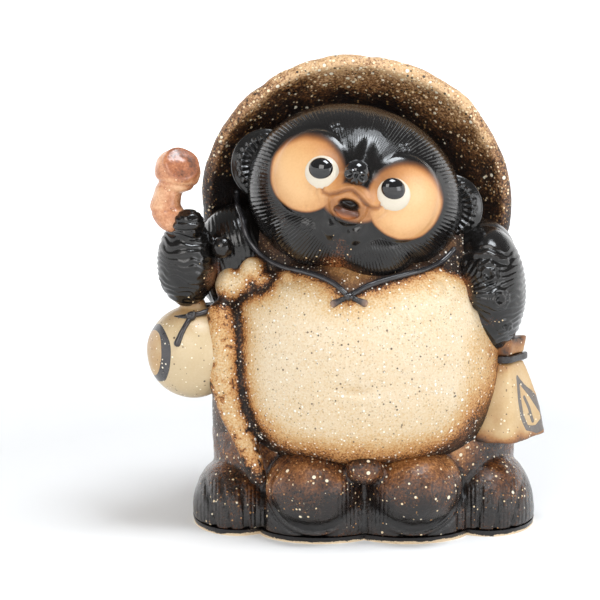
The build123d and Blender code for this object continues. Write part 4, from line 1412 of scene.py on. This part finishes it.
def bookForm(bm, stopsUp):
    # a four-sided post with rounded corners through heights and shares
    cx, cy = book["middle"][0] * body["halfWidth"], book["middle"][1] * body["halfDepth"]
    base = [bm.verts.new((px, py, 0)) for px, py in book["points"]]
    bm.faces.new(base)
    bmesh.ops.bevel(
        bm, geom=base, offset=book["corner"] * 1.5, segments=6, profile=0.5, affect="VERTICES", material=-1
    )
    top = bm.faces[:][0] if len(bm.faces) == 1 else max(bm.faces, key=lambda f: f.calc_area())
    outline = np.array([v.co for v in top.verts])[:, :2]
    ring = top.verts[:]
    for v, (px, py) in zip(ring, outline):
        v.co = (cx + px * stopsUp[0][1], cy + py * stopsUp[0][1], stopsUp[0][0])
    bottom = top
    for up, share in stopsUp[1:]:
        grown = bmesh.ops.extrude_face_region(bm, geom=[top])["geom"]
        raised = [g for g in grown if isinstance(g, bmesh.types.BMFace)][0]
        if top is not bottom:
            bmesh.ops.delete(bm, geom=[top], context="FACES_ONLY")
        last = stopsUp[[row[0] for row in stopsUp].index(up) - 1][1]
        for v in raised.verts:
            v.co = (cx + (v.co.x - cx) * share / last, cy + (v.co.y - cy) * share / last, up)
        top = raised
    bmesh.ops.recalc_face_normals(bm, faces=bm.faces[:])


def makeBook():
    low, height = book["low"], book["height"]
    top = low + height
    bm = bmesh.new()
    steps = np.linspace(0, 1, 9)
    widths = smoothAlong([0, 0.5, 1], book["shares"], steps)
    bookForm(bm, [(low + height * t, float(w)) for t, w in zip(steps, widths)])
    mesh = fused(bm, 0.8)
    relax(mesh, 16)
    co = coordsOf(mesh)
    cx, cy = book["middle"][0] * body["halfWidth"], book["middle"][1] * body["halfDepth"]
    t = np.clip((co[:, 2] - low) / height, 0, 1)
    push(mesh, 0.6 * cloud(co, 14) + 0.2 * cloud(co, 5, 3.0))
    co = coordsOf(mesh)
    x, y, z = co.T
    wide = smoothAlong([0, 0.5, 1], book["shares"], t)
    # along the outer front face, from its near edge to its far one
    nearX, nearY = cx + 4 * wide, cy - 20 * wide
    farX, farY = cx + 33 * wide, cy + 19 * wide
    dx, dy = farX - nearX, farY - nearY
    along = ((x - nearX) * dx + (y - nearY) * dy) / (dx**2 + dy**2)
    out = normalsOf(mesh)[:, 0] > 0.35
    leaf, vein = (toLine(along, t * 1.3, book[line]) for line in ("leaf", "vein"))
    thick = 0.03 + 0.05 * rise(along, 0.5, 0.85)
    stroke = np.maximum(1 - rise(leaf, thick, thick + 0.04), 1 - rise(vein, 0.02, 0.055))
    paint(mesh, "brush", np.where(out, 0.9 * stroke, 0))
    edge = hump((z - low) / 5.0, 1)
    shade = (
        0.74 - 0.56 * edge - 0.36 * (1 - rise(x, 68, 84)) - 0.25 * rise(t, 0.75, 1.0)
        + 0.20 * cloud(co, 10, 4.0)
    )
    paint(mesh, "shade", np.clip(shade, 0, 1))
    material = glaze("bookOatmeal", bookLook)
    addPiece(mesh, "ledger", "book_oatmeal", material, "account_book")
    tieShare = book["shares"][2] * 1.20
    bm = bmesh.new()
    bookForm(bm, [(top, tieShare), (top + book["tie"] / 2, tieShare * 1.02), (top + book["tie"], tieShare)])
    tie = glaze("bookTie", dict(cordLook, cloud=0.5))
    addCord(bm, "ledger_tie", tie, "account_book_tie", 0.3, 6, voxel=0.6, rounds=10)
    bm = bmesh.new()
    bookForm(
        bm,
        [(top + book["tie"], book["shares"][2]), (top + book["tie"] + book["collar"], book["collarShare"])]
    )
    mesh = fused(bm, 0.6)
    relax(mesh, 10)
    co = coordsOf(mesh)
    push(mesh, 0.4 * cloud(co, 6))
    paint(mesh, "brush", np.zeros(len(co)))
    paint(mesh, "shade", np.clip(0.34 + 0.3 * cloud(co, 8) - 0.2 * rise(co[:, 2], 122, 127), 0, 1))
    addPiece(
        mesh, "ledger_collar", "book_oatmeal", glaze("collarOatmeal", dict(bookLook, layers=[])),
        "account_book_collar"
    )


makeBook()

# Chin strap, laid on the glaze under the jaw
strapPose = {
    "radius": 1.9, "sink": 0.45, "upTo": ((-1.10, -0.28), (-1.04, -0.42)),
    "ends": {"right": (0.070, -1.235), "left": (0.385, -1.120)}, "endRadii": (1.6, 1.7, 2.2, 2.9)
}
strapLook = {
    "ramp": [(0.2, (22, 21, 22)), (0.55, (48, 47, 50)), (0.9, (84, 78, 78))], "cloud": 0.6,
    "cloudScale": 70, "rough": 0.16,
    "fineBump": 0.1, "softBump": 0.3, "coat": 0.4,
}
strapEndLook = {
    "by": "shade",
    "ramp": [(0.1, (26, 24, 25)), (0.45, (62, 52, 50)), (0.75, (132, 106, 90)), (1.0, (190, 160, 128))],
    "grain": 0.2, "cloud": 0.3, "cloudScale": 90, "rough": 0.25, "fineBump": 0.1, "softBump": 0.3,
    "coat": 0.2,
}


def layOn(trees, spots, lift):
    # the nearest surface in line with each spot of the face's plane, evened out along the way
    out = []
    for x, y in spots:
        start = toModel @ fromFace(x, y, 250)
        hits = [tree.ray_cast(start, -faceOut)[0] for tree in trees]
        nearest = min((hit for hit in hits if hit), key=lambda hit: (hit - start).length)
        out.append(toModel.inverted() @ nearest)
    local = inFace(np.array(out))
    if len(local) > 8:
        deep = np.pad(local[:, 2], 3, mode="edge")
        local[:, 2] = np.maximum(np.convolve(deep, np.ones(7) / 7, "valid"), local[:, 2] - 0.8)
    return [fromFace(x, y, z + lift) for x, y, z in local]


def makeStrap(under):
    view = bpy.context.evaluated_depsgraph_get()
    trees = [BVHTree.FromObject(piece, view) for piece in under]
    black = glaze("strapGlaze", strapLook)
    radius = strapPose["radius"]
    spots = np.array(strapSpots(strapShares))
    first = np.array(strapSpots(strapPose["upTo"]))
    for side, part in (("right", np.concatenate([first, spots[:9]])), ("left", spots[8:])):
        steps = np.concatenate([[0], np.cumsum(np.linalg.norm(np.diff(part, axis=0), axis=1))])
        line = smoothAlong(steps, part, np.linspace(0, steps[-1], 48))
        points = layOn(trees, line, radius * strapPose["sink"])
        bm = bmesh.new()
        bentForm(bm, points, [radius] * len(points), around=20, rings=220)
        addCord(bm, "strap_" + side, black, "chin_strap_" + side, 0.12, 6)
    middle = layOn(trees, [spots[8]], radius)[0]
    bm = bmesh.new()
    ball(bm, middle, (3.6, 2.6, 2.7), around=32, rings=24)
    ball(bm, middle + faceRight * 1.7 + faceOut * 0.9, (1.7, 1.6, 2.9), faceTurn, around=24, rings=18)
    ball(bm, middle - faceRight * 1.9 + faceOut * 0.7, (1.6, 1.5, 2.4), faceTurn, around=24, rings=18)
    addCord(bm, "strap_knot", black, "chin_strap_knot", 0.25, 2.6, voxel=0.3, rounds=3)
    tipped = glaze("strapEnds", strapEndLook)
    for side, shares in strapPose["ends"].items():
        tip = strapSpots([shares])[0]
        line = [
            (spots[8][0] + (tip[0] - spots[8][0]) * t, spots[8][1] + (tip[1] - spots[8][1]) * t)
            for t in (0.0, 0.35, 0.7, 1.0)
        ]
        points = layOn(trees, line, radius * 0.5)
        points[0] = middle
        bm = bmesh.new()
        bentForm(bm, points, strapPose["endRadii"], around=28, rings=60, flat=0.6)
        mesh = meshFrom(bm)
        co = coordsOf(mesh)
        away = np.linalg.norm(co - np.array(points[-1]), axis=1)
        paint(mesh, "shade", np.clip(0.95 - away / 9, 0.1, 1))
        addPiece(mesh, "strap_end_" + side, "cord_black", tipped, "chin_strap_" + side + "_end")


makeStrap([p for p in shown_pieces() if p.name in ("trunk", "head", "raised_arm", "hanging_arm", "hat")])

# The bare clay slab under it all
clayLook = {
    "ramp": [(0.2, (196, 168, 132)), (0.5, (222, 200, 168)), (0.8, (238, 222, 196))], "grain": 0.5,
    "cloud": 0.5,
    # the glaze runs down over the slab and leaves a thin uneven line of clay
    "layers": [{"by": (0.0, 3.0), "grain": 0.9, "cloud": 2.2, "edge": (0.34, 0.50), "rough": 0.25,
                "ramp": [(0.3, (96, 62, 38)), (0.5, (32, 26, 24)), (1.0, (22, 21, 22))]}],
    "rough": 0.75, "fineBump": 0.4, "softBump": 0.5,
}
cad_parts["base_slab"].data.materials.clear()
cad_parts["base_slab"].data.materials.append(glaze("bareClay", clayLook))

# Floor, lights and camera
stage = {
    "sweep": (  # distance from the middle, height
        (0.0, 0.0), (1.2, 0.0), (2.6, 0.0), (3.2, 0.05), (3.7, 0.25), (4.0, 0.60), (4.1, 1.1), (4.1, 2.0),
    ),
    "glow": (("From Min", 0.30), ("From Max", 1.3), ("To Min", 0.06), ("To Max", 0.72)), "world": 0.24,
    "lamps": (  # name, place, size, power, colour
        ("key", (-0.42, -1.30, 1.20), 0.7, 6.8, (1.0, 0.985, 0.96)),
        ("fill", (1.20, -0.85, 0.55), 0.6, 3.4, (0.94, 0.97, 1.0)),
        ("top", (0.28, -0.20, 1.34), 0.5, 12.0, (0.90, 0.95, 1.0)),
    ),
    "view": {
        "distance": 1.5, "elevation": 10.0, "target": (0, 0, 0.150), "lens": 134.58,
        "shift": (-0.0787, -0.0107),
    },
}


def makeStage():
    bm = bmesh.new()
    # a wide pale floor that curves up all round into a backdrop
    drawn(bm, stage["sweep"])
    turnRound(bm, 72, 0.001)
    mesh = meshFrom(bm)
    mesh.name = "floor"
    floor = bpy.data.objects.new("floor", mesh)
    scene.collection.objects.link(floor)
    pale = bpy.data.materials.new("paleFloor")
    pale.use_nodes = True
    tree = pale.node_tree
    shader = tree.nodes["Principled BSDF"]
    shader.inputs["Base Color"].default_value = (0.9, 0.9, 0.9, 1)
    shader.inputs["Roughness"].default_value = 0.9
    shader.inputs["Emission Color"].default_value = (1, 1, 1, 1)
    # it glows a little more away from the object, so that it reads as white paper
    away = tree.nodes.new("ShaderNodeVectorMath")
    away.operation = "LENGTH"
    tree.links.new(tree.nodes.new("ShaderNodeTexCoord").outputs["Object"], away.inputs[0])
    glow = tree.nodes.new("ShaderNodeMapRange")
    for label, value in stage["glow"]:
        glow.inputs[label].default_value = value
    tree.links.new(away.outputs["Value"], glow.inputs["Value"])
    tree.links.new(glow.outputs["Result"], shader.inputs["Emission Strength"])
    mesh.materials.append(pale)
    world = bpy.data.worlds.new("studio")
    scene.world = world
    world.use_nodes = True
    world.node_tree.nodes["Background"].inputs[0].default_value = (1, 1, 1, 1)
    world.node_tree.nodes["Background"].inputs[1].default_value = stage["world"]
    for name, place, size, power, colour in stage["lamps"]:
        light = bpy.data.lights.new(name, "AREA")
        light.size = size
        light.energy = power
        light.color = colour
        lamp = bpy.data.objects.new(name, light)
        scene.collection.objects.link(lamp)
        lamp.location = place
        lamp.rotation_mode = "QUATERNION"
        lamp.rotation_quaternion = (Vector((0, 0, 0.14)) - Vector(place)).to_track_quat("-Z", "Y")
    view = stage["view"]
    camera = bpy.data.cameras.new("camera")
    camera.lens = view["lens"]
    camera.sensor_width = 36
    camera.shift_x, camera.shift_y = view["shift"]
    camera.clip_start, camera.clip_end = 0.05, 30
    eye = bpy.data.objects.new("camera", camera)
    scene.collection.objects.link(eye)
    up = math.radians(view["elevation"])
    back = Vector((0, -math.cos(up), math.sin(up)))
    eye.location = Vector(view["target"]) + back * view["distance"]
    eye.rotation_mode = "QUATERNION"
    eye.rotation_quaternion = (-back).to_track_quat("-Z", "Y")
    scene.camera = eye
    scene.view_settings.view_transform = "Standard"


makeStage()
